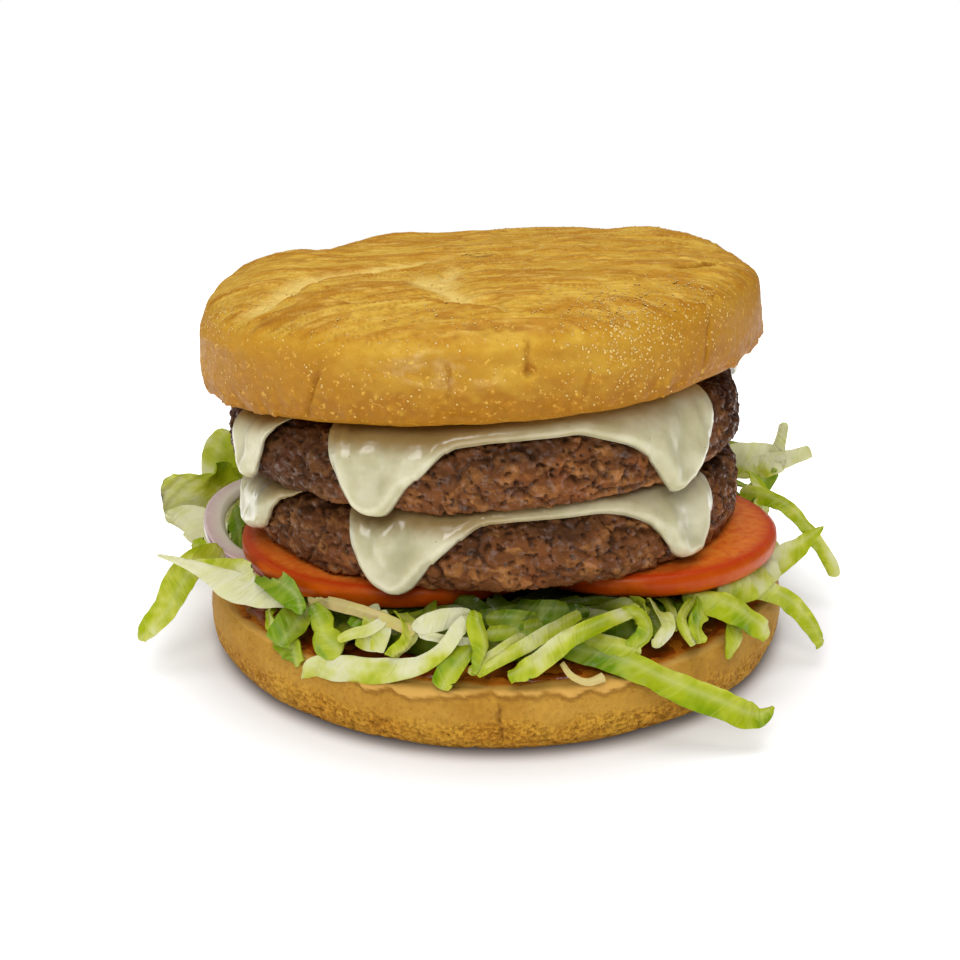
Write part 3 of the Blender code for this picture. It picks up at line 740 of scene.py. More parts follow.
def make_patties():
    noise.seed_set(1)  # noise_vector takes its offsets from this seed
    surface = beef_surface()
    segments, rings = 640, 100
    for level, (_, radius, height, _) in LEVELS.items():
        place = lambda azimuth, share: patty_place(azimuth, share, radius)
        shares = even_shares(place, rings, ((0, 0.17, 0.12), (0.8, 1.0, 0.15)))
        verts, faces = turned_piece(place, segments, shares)
        relief = lambda point, normal: patty_relief(point, height * 3, SIDE_SHADE[level])
        verts, marks = carve(verts, faces, relief, PATTY_MARKS)
        frame = level_matrix(level)
        shape = ([frame @ v for v in verts], faces, marks)
        finish_piece(new_object(f"{level}_beef", shape, surface), "beef", f"{level}_patty")


# ---------------------------------------------------------------- cheese


def drop_at(azimuth, drape):
    """How far the cheese hangs below the patty's top there: the drape's pairs eased into each other."""
    near = [azimuth + 0.5 * k for k in range(-3, 4)]
    eased = float(np.interp(near, *zip(*drape), period=360).mean())
    return eased * (1 + 0.07 * noise.noise(polar(azimuth, 9.0)))


def over_patty(travel, radius, lift):
    """(radius, height above the patty's middle) lift away from the patty, after travelling from the
    middle of its top over its edge and down its side."""
    flat, corner = radius - PATTY_TOP_EDGE, PATTY_TOP_EDGE + GAP
    if travel <= flat:
        return travel, PATTY_THICKNESS / 2 + GAP + lift
    turn = min(travel - flat, corner * math.pi / 2) / corner
    down = max(0.0, travel - flat - corner * math.pi / 2)
    side = flat + (corner + lift) * math.sin(turn) + DRIP_FLARE * down
    return side, PATTY_THICKNESS / 2 - PATTY_TOP_EDGE + (corner + lift) * math.cos(turn) - down


def end_of_cheese(azimuth, drape, radius):
    """How far from the patty's middle the cheese travels over it before it ends."""
    corner = PATTY_TOP_EDGE + GAP
    drop = drop_at(azimuth, drape)
    if drop < 0:
        return radius - PATTY_TOP_EDGE + drop
    rounding = corner * math.acos(max(0.0, 1 - drop / corner))
    return radius - PATTY_TOP_EDGE + rounding + max(0.0, drop - corner)


def from_edge(azimuth, travel, ends, spacing):
    """Distance of a point of the cheese from the line where it ends."""
    home = round((azimuth + 180) / 360 * len(ends))
    nearest = 1e9
    for k in range(-9, 10):
        below = max(0.0, ends[(home + k) % len(ends)] - travel)
        nearest = min(nearest, math.hypot(k * spacing, below))
    return nearest


def cheese_place(azimuth, share, radius, ends, slope, seed, grooves):
    """Melted cheese on a patty: a sheet that thickens to beads at its round lower ends."""
    below = share > 0.5
    side = 2 * (1 - share if below else share)
    flat = radius - PATTY_TOP_EDGE
    end = ends[round((azimuth + 180) / 360 * len(ends)) % len(ends)]
    start = flat - 12
    travel = start * side / 0.2 if side < 0.2 else start + (end - start) * (side - 0.2) / 0.8
    sheet = CHEESE_SPACE - 2 * GAP + slope * min(travel, radius) * math.sin(math.radians(azimuth))
    hang = smooth(travel, flat + 1, flat + 7)
    thick = 1.5 + 0.8 * smooth(abs(azimuth + 12), 62, 40)
    lift = sheet + (thick - sheet) * hang
    around = Vector((azimuth / 6.5, travel / 13, seed))
    lift += hang * (0.7 * noise.noise(around) + 0.35 * noise.noise(around * 2.7))
    lift += 0.25 * hang * noise.noise(Vector((azimuth / 2.2, travel / 5, seed)))
    down = smooth(travel, flat + 1, flat + 18)
    for top_azimuth, low_azimuth, depth in grooves:
        aside = abs(azimuth - top_azimuth - (low_azimuth - top_azimuth) * down)
        lift -= hang * depth * fade(aside, 0.0, 3.6) * fade(down, 0.35, 0.75)
    edge = from_edge(azimuth, travel, ends, math.radians(radius) * 360 / len(ends))
    drop = end - flat - PATTY_TOP_EDGE
    lift += 0.9 * smooth(drop, 4, 9) * smooth(edge, 0, 2.2) * fade(edge, 2.2, 5.5)
    lift *= math.sqrt(max(0.01, 1 - max(0.0, 1 - edge / 1.7) ** 2))
    inner = 0.35 * smooth(travel, flat - 1.5, flat + 2.5)
    out, height = over_patty(travel, radius, inner if below else max(lift, inner + 0.12))
    return polar(azimuth, out, height)


def cheese_surface():
    look = Surface(
        "cheese", Roughness=0.3, Specular_IOR_Level=0.5, Subsurface_Weight=0.3, Subsurface_Scale=0.003,
        Subsurface_Radius=(1.0, 0.9, 0.6), Coat_Weight=0.5, Coat_Roughness=0.1,
    )
    cloud = look.noise(6, 3)
    look.colour = look.mix(look.range(cloud, 0.35, 0.65), srgb(186, 180, 141), srgb(206, 200, 168))
    # painted shadow under the crown's rim and under the upper patty
    look.paint((146, 118, 62), look.mark("overhang_shadow"), 0.85)
    speck = look.range(look.cells(2.6), 0.07, 0.04, 0, 0.6)
    rare = look.range(look.noise(5, 1), 0.52, 0.56)
    look.paint((120, 100, 60), speck, rare)
    look.into("Base Color", look.colour)
    look.into("Normal", look.bump(look.noise(2.8, 2), 0.3))
    return look.material


def make_cheeses():
    surface = cheese_surface()
    segments, ends_per_degree = 640, 2.5
    slopes = {
        "lower": math.tan(math.radians(UPPER_PATTY_ROLL)),
        "upper": math.tan(math.radians(CROWN_ROLL - UPPER_PATTY_ROLL - STACK_ROLL)),
    }
    for level, (_, radius, height, _) in LEVELS.items():
        azimuths = [k / ends_per_degree - 180 for k in range(int(360 * ends_per_degree))]
        ends = [end_of_cheese(azimuth, DRAPES[level], radius) for azimuth in azimuths]
        melt = (radius, ends, slopes[level], height, GROOVES[level])
        place = lambda azimuth, share: cheese_place(azimuth, share, *melt)
        outer = [0.1 + 0.4 * k / 52 for k in range(52)]
        inner = [0.5 + 0.4 * k / 10 for k in range(11)]
        shares = [0.05, *outer, *inner, 0.95]
        verts, faces = turned_piece(place, segments, shares)
        frame = level_matrix(level)
        top = PATTY_THICKNESS / 2
        # painted shadow on the cheese's top 3 mm, under what hangs over it, weaker towards the right
        overhang_shadow = [
            smooth(v.z, top - 3, top + 0.2) * (1 - 0.7 * smooth(azimuth_of(v.x, v.y), -8, 22)) for v in verts
        ]
        marks = {"overhang_shadow": overhang_shadow}
        shape = ([frame @ v for v in verts], faces, marks)
        finish_piece(new_object(f"{level}_melt", shape, surface), "cheese", f"{level}_cheese")


# ---------------------------------------------------------------- tomatoes and onion


def tomato_place(azimuth, share, name):
    """A slice. Where the two overlap each is pressed to half its thickness, the left one on top."""
    centre, radius = TOMATOES[name]
    upper = name == "tomato_left"
    other_centre, other_radius = TOMATOES["tomato_right" if upper else "tomato_left"]
    wave = polar(azimuth, 1.0) * 5 / 4 + Vector((0, 0, centre[0] / 10))
    radius *= 1 + 0.012 * noise.noise(wave)
    out, height = puck(share, radius, TOMATO_THICKNESS, TOMATO_TOP_EDGE, TOMATO_BOTTOM_EDGE, 0.28)
    point = polar(azimuth, out, height + TOMATO_THICKNESS / 2) + Vector((*centre, 0))
    inside = other_radius - plan_distance(point, other_centre)
    press = smooth(inside, -6, -1)
    middle = TOMATO_THICKNESS / 2
    if upper:
        point.z += press * max(0.0, middle + GAP / 2 - point.z)
    else:
        point.z -= press * max(0.0, point.z - middle + GAP / 2)
    return point


def tomato_relief(point, normal, centre, radius):
    away = plan_distance(point, centre)
    flesh = smooth(normal.z, 0.75, 0.95)
    rim = smooth(away, radius - 3.4, radius - 1.2)
    offset = 0.12 * bumps(point, (2.5, 2.5, 2.5), 3.0, 2) * flesh + 0.12 * bumps(point, (14, 14, 6), 1.0)
    return offset, flesh, rim


def tomato_surface():
    look = Surface(
        "tomato", Roughness=0.36, Specular_IOR_Level=0.1, Subsurface_Weight=0.15, Subsurface_Scale=0.002,
        Subsurface_Radius=(1.0, 0.3, 0.1), Coat_Weight=0.06, Coat_Roughness=0.15,
    )
    cloud = look.noise(9, 3)
    skin = look.mix(look.range(cloud, 0.35, 0.65), srgb(174, 62, 0), srgb(187, 81, 4))
    grain = look.range(look.noise(1.8, 4, roughness=0.7), 0.3, 0.7)
    flesh = look.mix(grain, srgb(222, 94, 24), srgb(238, 136, 50))
    flesh = look.mix(look.mark("rim"), flesh, srgb(194, 60, 12))
    look.into("Base Color", look.mix(look.mark("flesh"), skin, flesh))
    look.into("Normal", look.bump(look.noise(1.2, 3), 0.12))
    return look.material


def make_tomatoes():
    surface = tomato_surface()
    segments, rings = 260, 46
    for name, (centre, radius) in TOMATOES.items():
        place = lambda azimuth, share: tomato_place(azimuth, share, name)
        verts, faces = turned_piece(place, segments, even_shares(place, rings))
        relief = lambda point, normal: tomato_relief(point, normal, centre, radius)
        verts, marks = carve(verts, faces, relief, ("flesh", "rim"))
        frame = stack_matrix()
        shape = ([frame @ v for v in verts], faces, marks)
        finish_piece(new_object(f"{name}_slice", shape, surface), "tomato", name)


def onion_matrix():
    height = stack_height(*ONION_CENTRE) - ONION_THICKNESS / 2 - 2 * GAP
    hinge = polar(ONION_HIGH_SIDE, 1.0).cross(UP)
    return Matrix.Translation((*ONION_CENTRE, height)) @ Matrix.Rotation(math.radians(ONION_TILT), 4, hinge)


def onion_ring_shape():
    """A ring cut from an onion: skin round the outside, then fleshy layers with faint steps."""
    segments, sides = 160, 28
    verts, skin = [], []
    for i in range(segments):
        turn = 2 * math.pi * i / segments
        wobble = 0.35 * noise.noise(Vector((math.cos(turn), math.sin(turn), 4.0)) * 1.3)
        for k in range(sides):
            angle = 2 * math.pi * k / sides
            wide, tall = math.cos(angle), math.sin(angle)
            across = math.copysign(abs(wide) ** 0.6, wide)
            out = ONION_RADIUS - ONION_WALL / 2 + wobble + ONION_WALL / 2 * across
            step = 0.16 * math.sin(across * 9) if tall > 0.3 else 0.0
            height = ONION_THICKNESS / 2 * math.copysign(abs(tall) ** 0.6, tall) + step
            point = Vector((out * math.cos(turn), out * math.sin(turn), height))
            point.z += ONION_BEND * smooth(point.dot(polar(ONION_HIGH_SIDE, 1.0)), 5, ONION_RADIUS)
            verts.append(onion_matrix() @ point)
            skin.append(across if tall > 0.1 else min(across, 0.7))
    faces = []
    for i in range(segments):
        for k in range(sides):
            here, there, after = i * sides, (i + 1) % segments * sides, (k + 1) % sides
            faces.append((here + k, there + k, there + after, here + after))
    return verts, faces, {"skin": skin}


def make_onion():
    look = Surface(
        "onion", Roughness=0.28, Subsurface_Weight=0.5, Subsurface_Scale=0.004,
        Subsurface_Radius=(1.0, 0.8, 0.9), Coat_Weight=0.2, Coat_Roughness=0.2,
    )
    layer = look.mark("skin")
    look.colour = look.mix(look.range(layer, -0.6, 0.7), srgb(216, 208, 186), srgb(202, 180, 174))
    look.paint((140, 92, 112), look.range(layer, 0.9, 0.99))
    line = look.noise(1.5, 2, stretch=(1, 1, 6))
    look.paint((224, 214, 206), look.range(line, 0.5, 0.7, 0, 0.3))
    look.into("Base Color", look.colour)
    finish_piece(new_object("onion_slice", onion_ring_shape(), look.material), "onion", "onion_ring")


# ---------------------------------------------------------------- lettuce

CORE_RADIUS, CORE_EDGE, CORE_TOP = 53.5, 2, 21.0
# How far leaves may reach to the left, right and front, how steeply they may rise beyond what lies on them,
# and how high in the open.
LEFT_END, RIGHT_END, FRONT_END = -76.9, 76.3, -62.8
STEEP, OPEN_HEIGHT = 12, 60.0
TOWARDS_VIEW = (0.0, -0.95, 0.3)
# Shreds that lie where they are seen from the front: points (x, y, z, half width), the way the blade
# faces, its greenness (1 green, 0 pale, below -0.7 tan), the depth of its ruffle.
PLACED_SHREDS = (
    # left
    (((-39, -42, 22, 1.4), (-45, -38, 21.4, 2.7), (-51.5, -34, 21.2, 2.9), (-57, -32.5, 23.6, 1.6),
      (-62, -31, 25, 0.8), (-67, -28, 25, 0.3)), (-0.25, -0.8, 0.55), -0.42, 0.3),
    (((-43, -37, 22.4, 1.3), (-49, -33, 24, 2), (-55, -28.5, 22.8, 1.7), (-61, -24, 21.6, 0.8)),
     (-0.25, -0.8, 0.55), 0.3, 0.4),
    (((-55, -17, 20.5, 2.4), (-61, -23, 21.4, 2.9), (-64, -27, 18, 2.9), (-66, -29, 14.2, 2.5),
      (-69, -30, 10.8, 2.2), (-72, -30, 7.6, 1.3)), (-0.2, -0.95, 0.2), 0.3, 0.4),
    (((-60, 25, 15.6, 8), (-66.5, 21, 17.7, 9.4), (-70, 18, 19.4, 8.8), (-72.8, 16, 22.1, 6.9),
      (-74.8, 14.5, 24.2, 4.4), (-76, 14, 25.4, 1.8)), (-0.1, -0.98, 0.1), 0.02, 0.7),
    (((-62.1, 25, 18, 4.8), (-64.8, 25, 23.8, 4.8), (-64.8, 25, 28.3, 4.4), (-63.8, 25, 31.7, 3.2),
      (-62.9, 25, 33.7, 1.4)), (0.0, -1, 0.1), 0.15, 0.7),
    (((-62.9, 15, 11.3, 3.3), (-67.4, 15, 13.3, 3.9), (-71.4, 15, 15.6, 3.2), (-75, 15, 16.4, 1.4),
      (-76.7, 14.5, 16.8, 0.2)), (-0.1, -0.95, 0.3), -0.45, 0.5),
    (((-59, 17, 9.6, 3), (-65, 16, 9.4, 2.6), (-69.6, 15, 10.6, 1.9), (-72.6, 14, 12, 0.4)),
     (-0.1, -0.95, 0.3), -0.4, 0.5),
    (((-50, -20, 17.5, 1.2), (-55.5, -16.5, 18.6, 1.8), (-60, -14, 20, 1.9), (-63, -11.5, 20.2, 1.7),
      (-64.6, -9.5, 19.6, 0.5)), (-0.2, -0.8, 0.55), 0.75, 0.6),
    (((-52, -8, 19, 4), (-44, -2, 20.6, 5), (-34, 6, 21, 5)), (0, -0.3, 1), 0.65, 0.8),
    # front left
    (((-46, -34.5, 24, 1.6), (-41.3, -41.5, 25, 2.5), (-37.6, -45.6, 24.2, 2.4), (-36, -47, 21.4, 1)),
     (-0.5, -0.6, 0.65), 0.95, 0.8),
    (((-43.4, -37, 18.3, 1.2), (-43.4, -40, 16.6, 1.9), (-40.8, -44.7, 15.6, 2.2),
      (-38.1, -48.3, 14.6, 2.4), (-37.1, -49.5, 11.8, 2.1)), (-0.6, -0.75, 0.3), 0.5, 1.2),
    (((-36, -41, 21, 2.6), (-38.3, -45, 18.8, 3), (-41, -48, 16, 3)), (-0.5, -0.8, 0.4), 0.85, 1.0),
    (((-34.3, -45.5, 22.4, 1.9), (-32.7, -49.7, 21.2, 2.9), (-31.3, -51.8, 18.6, 3.3),
      (-28.4, -54, 16.6, 2.6)), (-0.6, -0.75, 0.4), 0.55, 0.9),
    (((-28.7, -53.9, 19.7, 0.7), (-26, -54.6, 21.3, 1), (-23, -55.4, 22.5, 1.1),
      (-19.8, -54.5, 24, 0.9)), TOWARDS_VIEW, -0.1, 0.1),
    (((-22.6, -51.3, 25.4, 1.5), (-22.4, -54, 22.8, 2), (-23.8, -55.6, 18.6, 2.2)), (-0.5, -0.8, 0.3),
     0.0, 0.2),
    (((-21.2, -52.8, 24.8, 1.6), (-20.5, -55.3, 22.5, 1.8), (-21.4, -56.5, 18.7, 1.4)),
     (-0.2, -0.9, 0.3), 0.1, 0.2),
    (((-35, -44.5, 23.6, 0.9), (-28, -49.5, 24.3, 1.2), (-20.5, -54.4, 24.4, 1.2),
      (-14.5, -57.8, 23, 0.9)), TOWARDS_VIEW, -0.9, 0.1),
    (((-36, -50.3, 9.8, 0.3), (-33.4, -52, 13.2, 1.9), (-27.4, -55.4, 14.6, 2.5),
      (-19.9, -58.5, 16, 2.2), (-13.6, -60, 18, 1.6), (-9.5, -59.8, 20.8, 1.4), (-6.9, -58.6, 24.1, 1.4),
      (-4.8, -57.8, 26.2, 1.3)), (-0.1, -0.85, 0.5), 0.08, 0.3),
    (((-17.7, -53, 24.6, 1.6), (-15.4, -57, 23.6, 1.9), (-16.4, -58.4, 21, 2), (-19, -58, 18.7, 1.6)),
     (0.7, -0.7, 0.2), 0.5, 0.4),
    (((-15, -57.1, 23.7, 1.1), (-11.5, -57.3, 24.9, 1.9), (-8, -57, 25.8, 1.7),
      (-4.5, -56.6, 26.6, 0.9)), TOWARDS_VIEW, 0.0, 0.3),
    (((-14, -57, 22.8, 0.8), (-9, -58, 22, 0.9), (-3, -57.2, 21, 0.8)), TOWARDS_VIEW, 0.0, 0.1),
    (((-4.2, -57.5, 27.4, 0.6), (-3.8, -59, 26, 1.6), (-2.6, -60.6, 22, 1.9), (-3, -61.4, 18.8, 1.4),
      (-4.2, -61.4, 17, 0.6)), (0.45, -0.8, 0.1), 0.55, 0.5),
    (((-4.6, -57.8, 20.6, 1.6), (-7.4, -60.4, 18.8, 2.2), (-9.2, -61.8, 16.4, 2.2),
      (-10, -61.9, 14.6, 1.6)), (-0.1, -0.95, 0.3), 0.7, 0.3),
    (((-5, -60.9, 16.8, 0.9), (0, -59.3, 19.6, 1.4), (5, -56.4, 22, 1)), TOWARDS_VIEW, 0.15, 0.2),
    (((-3.6, -60.9, 16.6, 0.8), (4.1, -58.9, 20.6, 1.3), (9.4, -56.2, 22.6, 1.3), (15, -52, 24, 1)),
     TOWARDS_VIEW, 0.12, 0.25),
    # front right
    (((3.5, -50, 24, 2.2), (8, -52.4, 24.6, 2.5), (13, -51, 24, 2)), (0.1, -0.7, 0.7), 1.0, 0.5),
    (((-2, -53.5, 23.6, 1.6), (3.2, -54.4, 24, 1.8), (7.4, -53, 23, 1.4)), (0, -0.8, 0.6), 1.0, 0.4),
    (((-2, -56.2, 21.8, 1.4), (4, -55.6, 22.4, 1.5), (10, -52.6, 22.6, 1.2)), (0, -0.8, 0.6), 0.9, 0.3),
    (((1.9, -62, 16.8, 1.3), (5.4, -61.8, 18, 1.9), (9.6, -60.2, 20.6, 1.9), (12.8, -58.6, 22.6, 1.7),
      (18.3, -56.1, 24, 1.5), (25.9, -50.8, 24.8, 1.1)), (0.1, -0.85, 0.5), 0.3, 0.6),
    (((22, -51.6, 23.6, 1.2), (25.7, -53.1, 24, 1.9), (26.6, -54.4, 21.4, 2.2), (24, -54.8, 18.6, 1.6)),
     (0.8, -0.6, 0.1), 0.6, 0.6),
    (((28.2, -45, 24, 1.5), (29.9, -48.5, 22.6, 1.7), (31.2, -50.6, 20.4, 1.7),
      (28.3, -52.9, 17.8, 1.2)), (0.8, -0.6, 0.1), 0.0, 0.3),
    (((37, -42, 22.4, 0.7), (34, -47.6, 20.6, 1), (36.3, -49.8, 16.6, 0.8)), TOWARDS_VIEW, 0.3, 0.3),
    (((41, -38, 21, 1.8), (37.2, -45.6, 20.6, 2.1), (37, -49.6, 16.8, 1)), (0.7, -0.7, 0.2), 0.7, 0.9),
    (((35, -41, 22.6, 2.5), (41.8, -43, 21.6, 2.8), (47.4, -41.8, 18, 2.6), (52, -40.4, 13.8, 1.9)),
     (0.15, -0.75, 0.65), 0.4, 0.3),
    (((45.4, -40, 17.3, 2), (44.6, -43.8, 14.6, 1.9), (43.2, -46, 11.6, 0.3)), (0.3, -0.9, 0.2),
     0.05, 0.2),
    (((42, -37, 21.4, 1.6), (50, -31.5, 19.4, 1.9), (57, -27.5, 15.8, 2), (62, -27, 11, 1.9),
      (66.2, -27, 4.6, 1.3)), (0.2, -0.85, 0.5), 0.4, 0.3),
    (((56, 16, 21.5, 2.2), (62, 12, 21.6, 1.9), (67, 7.5, 19.5, 1.6), (71.5, 2.6, 14.6, 1.6),
      (75.8, 0.4, 7.6, 1.6)), (0.3, -0.9, 0.3), 0.35, 0.3),
    (((50, -20, 16, 2.6), (58, -15, 17.6, 2.9), (64.5, -11.5, 20.6, 1.9), (69, -9.5, 23.6, 0.4)),
     (0.2, -0.9, 0.4), 0.25, 0.4),
    (((10, -52, 18, 1.6), (16, -54.8, 17.4, 2), (22.4, -56, 16.4, 2.4), (29, -57.4, 13.7, 2.6),
      (35, -58.6, 11.4, 2.7), (41, -58.5, 8.8, 2.6), (45, -58.2, 6.8, 2.5), (48, -57.6, 6.4, 1.7),
      (50, -57, 8, 0.3)), (0.05, -0.75, 0.65), 0.68, 0.35),
    (((11.5, -58.6, 17.6, 0.5), (13.2, -60.2, 15.9, 0.6), (16, -60.6, 14.9, 0.7),
      (19, -59.6, 15.4, 0.8)), TOWARDS_VIEW, -0.9, 0.3),
    # back right
    (((53, 29, 24.5, 4), (60, 30, 24.4, 4.4), (65.5, 30, 24.6, 4), (69.5, 30, 25, 2.2)), (0, -1, 0.1),
     -0.15, 0.6),
    (((66.4, 30, 24, 2.8), (67.6, 30, 29, 1.4), (68.3, 30, 34, 1.2)), (0, -1, 0.1), -0.15, 0.2),
    (((62, 30, 22.6, 3), (69, 30, 24.8, 2.2), (75.2, 30, 26.8, 1.6)), (0, -1, 0.1), -0.1, 0.2),
    (((63, 31, 22, 3.4), (57, 31, 25.6, 3), (51, 30, 27.6, 2)), (0, -1, 0.1), 0.15, 0.5),
    (((58, 27, 13, 2.2), (63.5, 28.5, 18.5, 2.3), (67, 29, 22.6, 1.3)), (0.1, -0.95, 0.2), 0.95, 0.6),
    (((58, 8, 16, 2.6), (61.6, 17, 19.4, 3.2), (60.5, 26, 23, 2)), (0.5, -0.8, 0.3), 0.3, 0.6),
    (((42, -39, 22, 2.4), (49, -34, 21.4, 3), (57, -22, 21, 2.4)), (0.3, -0.8, 0.5), 0.2, 0.5),
    (((14, -52, 19.4, 1.8), (20, -55, 19, 2), (26, -54.4, 17.6, 1.4)), TOWARDS_VIEW, 0.3, 0.3),
    # back
    (((33, 40, 18, 2.6), (44, 50, 20.5, 3.4), (53, 57, 17, 3), (57.5, 61, 11.5, 1.6)), (0.5, 0.6, 0.6),
     0.5, 0.5),
    (((6, 50, 18, 3), (7, 58, 20.4, 4), (9, 67, 18, 3.4), (10, 73, 14.6, 1.6)), (0, 0.5, 0.8), 0.3, 0.5),
    (((-28, 46, 18, 3), (-33, 56, 19.4, 3.6), (-38, 62, 15.6, 3), (-41.5, 65, 11, 1.4)),
     (-0.3, 0.7, 0.6), 0.7, 0.6),
)
LEAF_MARKS = ("green", "rib", "along", "aside")
FILL_SHREDS = 170
LEAF_STEP = 0.8


def curve_point(points, share):
    """A point of a Catmull-Rom curve through points, each a tuple of numbers."""
    reach = share * (len(points) - 1)
    k = min(int(reach), len(points) - 2)
    t = reach - k
    a, b, c, d = (points[min(max(k + i, 0), len(points) - 1)] for i in (-1, 0, 1, 2))
    return [
        0.5 * (2 * q + (r - p) * t + (2 * p - 5 * q + 4 * r - s) * t**2 + (3 * q - p - 3 * r + s) * t**3)
        for p, q, r, s in zip(a, b, c, d)
    ]


def heap_floor(x, y):
    """Lowest height a leaf may have: the heel's cut face and its rounded rim, then open air."""
    reach, rim_end = math.hypot(x, y), HEEL_RADIUS + 0.8
    if reach > rim_end:
        return 0.4
    return HEEL_HEIGHT + 0.6 - 5.0 * smooth(reach, HEEL_RADIUS - HEEL_RIM, rim_end)


def heap_ceiling(x, y):
    """Highest height a leaf may have under the slices, the patties and the onion ring."""
    bed = stack_height(x, y) - 0.25
    limit = OPEN_HEIGHT
    for centre, radius in TOMATOES.values():
        limit = min(limit, bed + STEEP * max(0.0, plan_distance((x, y), centre) - radius - 0.8))
    limit = min(limit, bed + TOMATO_THICKNESS - 1.2 + STEEP * max(0.0, math.hypot(x, y) - 52.5))
    ring = abs(plan_distance((x, y), ONION_CENTRE) - ONION_RADIUS + ONION_WALL / 2)
    return min(limit, bed - ONION_THICKNESS - 0.6 + 8 * max(0.0, ring - ONION_WALL / 2 - 0.2))


def leaf_faces(first, rows, columns):
    """Faces of a blade whose front and back are grids of points, closed along its edges. Its points start
    with number first, and the back's come after the front's."""
    width, count = columns + 1, (rows + 1) * (columns + 1)
    faces = []
    for i in range(rows):
        for j in range(columns):
            a = first + i * width + j
            faces.append((a, a + 1, a + width + 1, a + width))
            faces.append((a + count, a + count + width, a + count + width + 1, a + count + 1))
        for j, flip in ((0, False), (columns, True)):
            a = first + i * width + j
            b = a + width
            faces.append((a, a + count, b + count, b) if flip else (a, b, b + count, a + count))
    for j in range(columns):
        for i, flip in ((0, True), (rows, False)):
            a = first + i * width + j
            b = a + 1
            faces.append((a, a + count, b + count, b) if flip else (a, b, b + count, a + count))
    return faces


def leaf(points, facing, greenness, ruffle, seed, heap):
    """Adds one shred to heap: a blade along points, ruffled at its edges and thicker at its rib."""
    verts, faces, marks = heap
    length = sum((Vector(b[:3]) - Vector(a[:3])).length for a, b in zip(points, points[1:]))
    rows, columns = max(8, int(length / LEAF_STEP)), 8
    facing, rounded = Vector(facing), 0.15 + 0.5 * (math.sin(seed * 2.9) > 0)
    blade = []
    for i in range(rows + 1):
        share = i / rows
        *spot, half = curve_point(points, share)
        ahead = Vector(curve_point(points, min(1.0, share + 0.02))[:3])
        behind = Vector(curve_point(points, max(0.0, share - 0.02))[:3])
        along = (ahead - behind).normalized()
        turn = 0.5 * noise.noise(Vector((seed, share * length / 14, 0.5)))
        across = (Matrix.Rotation(turn, 3, along) @ along.cross(facing)).normalized()
        out = across.cross(along)
        half = max(0.15, half)
        curl = half * 0.5 * noise.noise(Vector((share * length / 9, seed, 2.5)))
        row = []
        for j in range(columns + 1):
            aside = 2 * j / columns - 1
            wave = Vector((share * length / 3.4, aside * 0.9, seed))
            lift = ruffle * abs(aside) ** 1.5 * 2.0 * noise.noise(wave)
            lift += curl * (0.33 - aside**2)
            lift += 0.45 * noise.noise(Vector((share * length / 2.2, aside * 0.4, seed + 9)))
            lift += 0.2 * noise.noise(Vector((share * length / 0.9, aside * 0.7, seed + 3)))
            wide = half * (1 + 0.1 * noise.noise(Vector((share * length / 2.6, aside, seed + 5))))
            end = smooth(share, 1 - 2 / length, 1) - smooth(1 - share, 1 - 2 / length, 1)
            slant = aside * half * 0.35 * math.sin(seed * 1.7) - end * half * rounded * aside**2
            row.append(Vector(spot) + across * aside * wide + out * lift + along * slant)
        blade.append((row, out, share, half))
    first = len(verts)
    for side in (1, -1):
        for row, out, share, half in blade:
            for j, point in enumerate(row):
                aside = 2 * j / columns - 1
                rib = fade(abs(aside + 0.25), 0.0, 0.4)
                depth = 0.13 + 0.13 * rib
                spot = point + out * depth * side
                low, high = heap_floor(spot.x, spot.y), heap_ceiling(spot.x, spot.y)
                spot.z = max(low + 0.1 * (side + 1), min(high - 0.1 * (1 - side), spot.z))
                spot.x, spot.y = min(RIGHT_END, max(LEFT_END, spot.x)), max(FRONT_END, spot.y)
                verts.append(spot)
                for mark, value in zip(LEAF_MARKS, (greenness, rib, share * length, aside * half)):
                    marks[mark].append(value)
    faces.extend(leaf_faces(first, rows, columns))


def fill_shred(chance):
    """A loose shred anywhere round the heap: mostly along the rim, some pointing outward."""
    azimuth = chance.uniform(-180, 180)
    reach = chance.uniform(43, 51 if abs(azimuth) < 65 else 58)
    middle = polar(azimuth, reach, chance.uniform(15.5, 23))
    heading = azimuth + chance.choice((90, 90, 0)) + chance.gauss(0, 32)
    run = polar(heading, chance.uniform(6, 13))
    if (middle + run).xy.length > 60:
        run *= 0.55
    drop = Vector((0, 0, chance.uniform(-3, 2.2)))
    width = chance.choice((1.1, 1.6, 2.2, 2.9))
    points = [
        (*(middle - run + drop * 0.5), width * 0.7),
        (*(middle - run * 0.35 + UP * chance.uniform(-1, 2)), width),
        (*(middle + run * 0.35 + UP * chance.uniform(-1, 2)), width),
        (*(middle + run + drop), width * 0.6),
    ]
    facing = polar(azimuth + chance.gauss(0, 35), 1.0, chance.uniform(0.1, 1.4))
    greenness = chance.choice((0.05, 0.2, 0.4, 0.6, 0.8, 1.0))
    return points, facing, greenness, chance.uniform(0.2, 1.0)


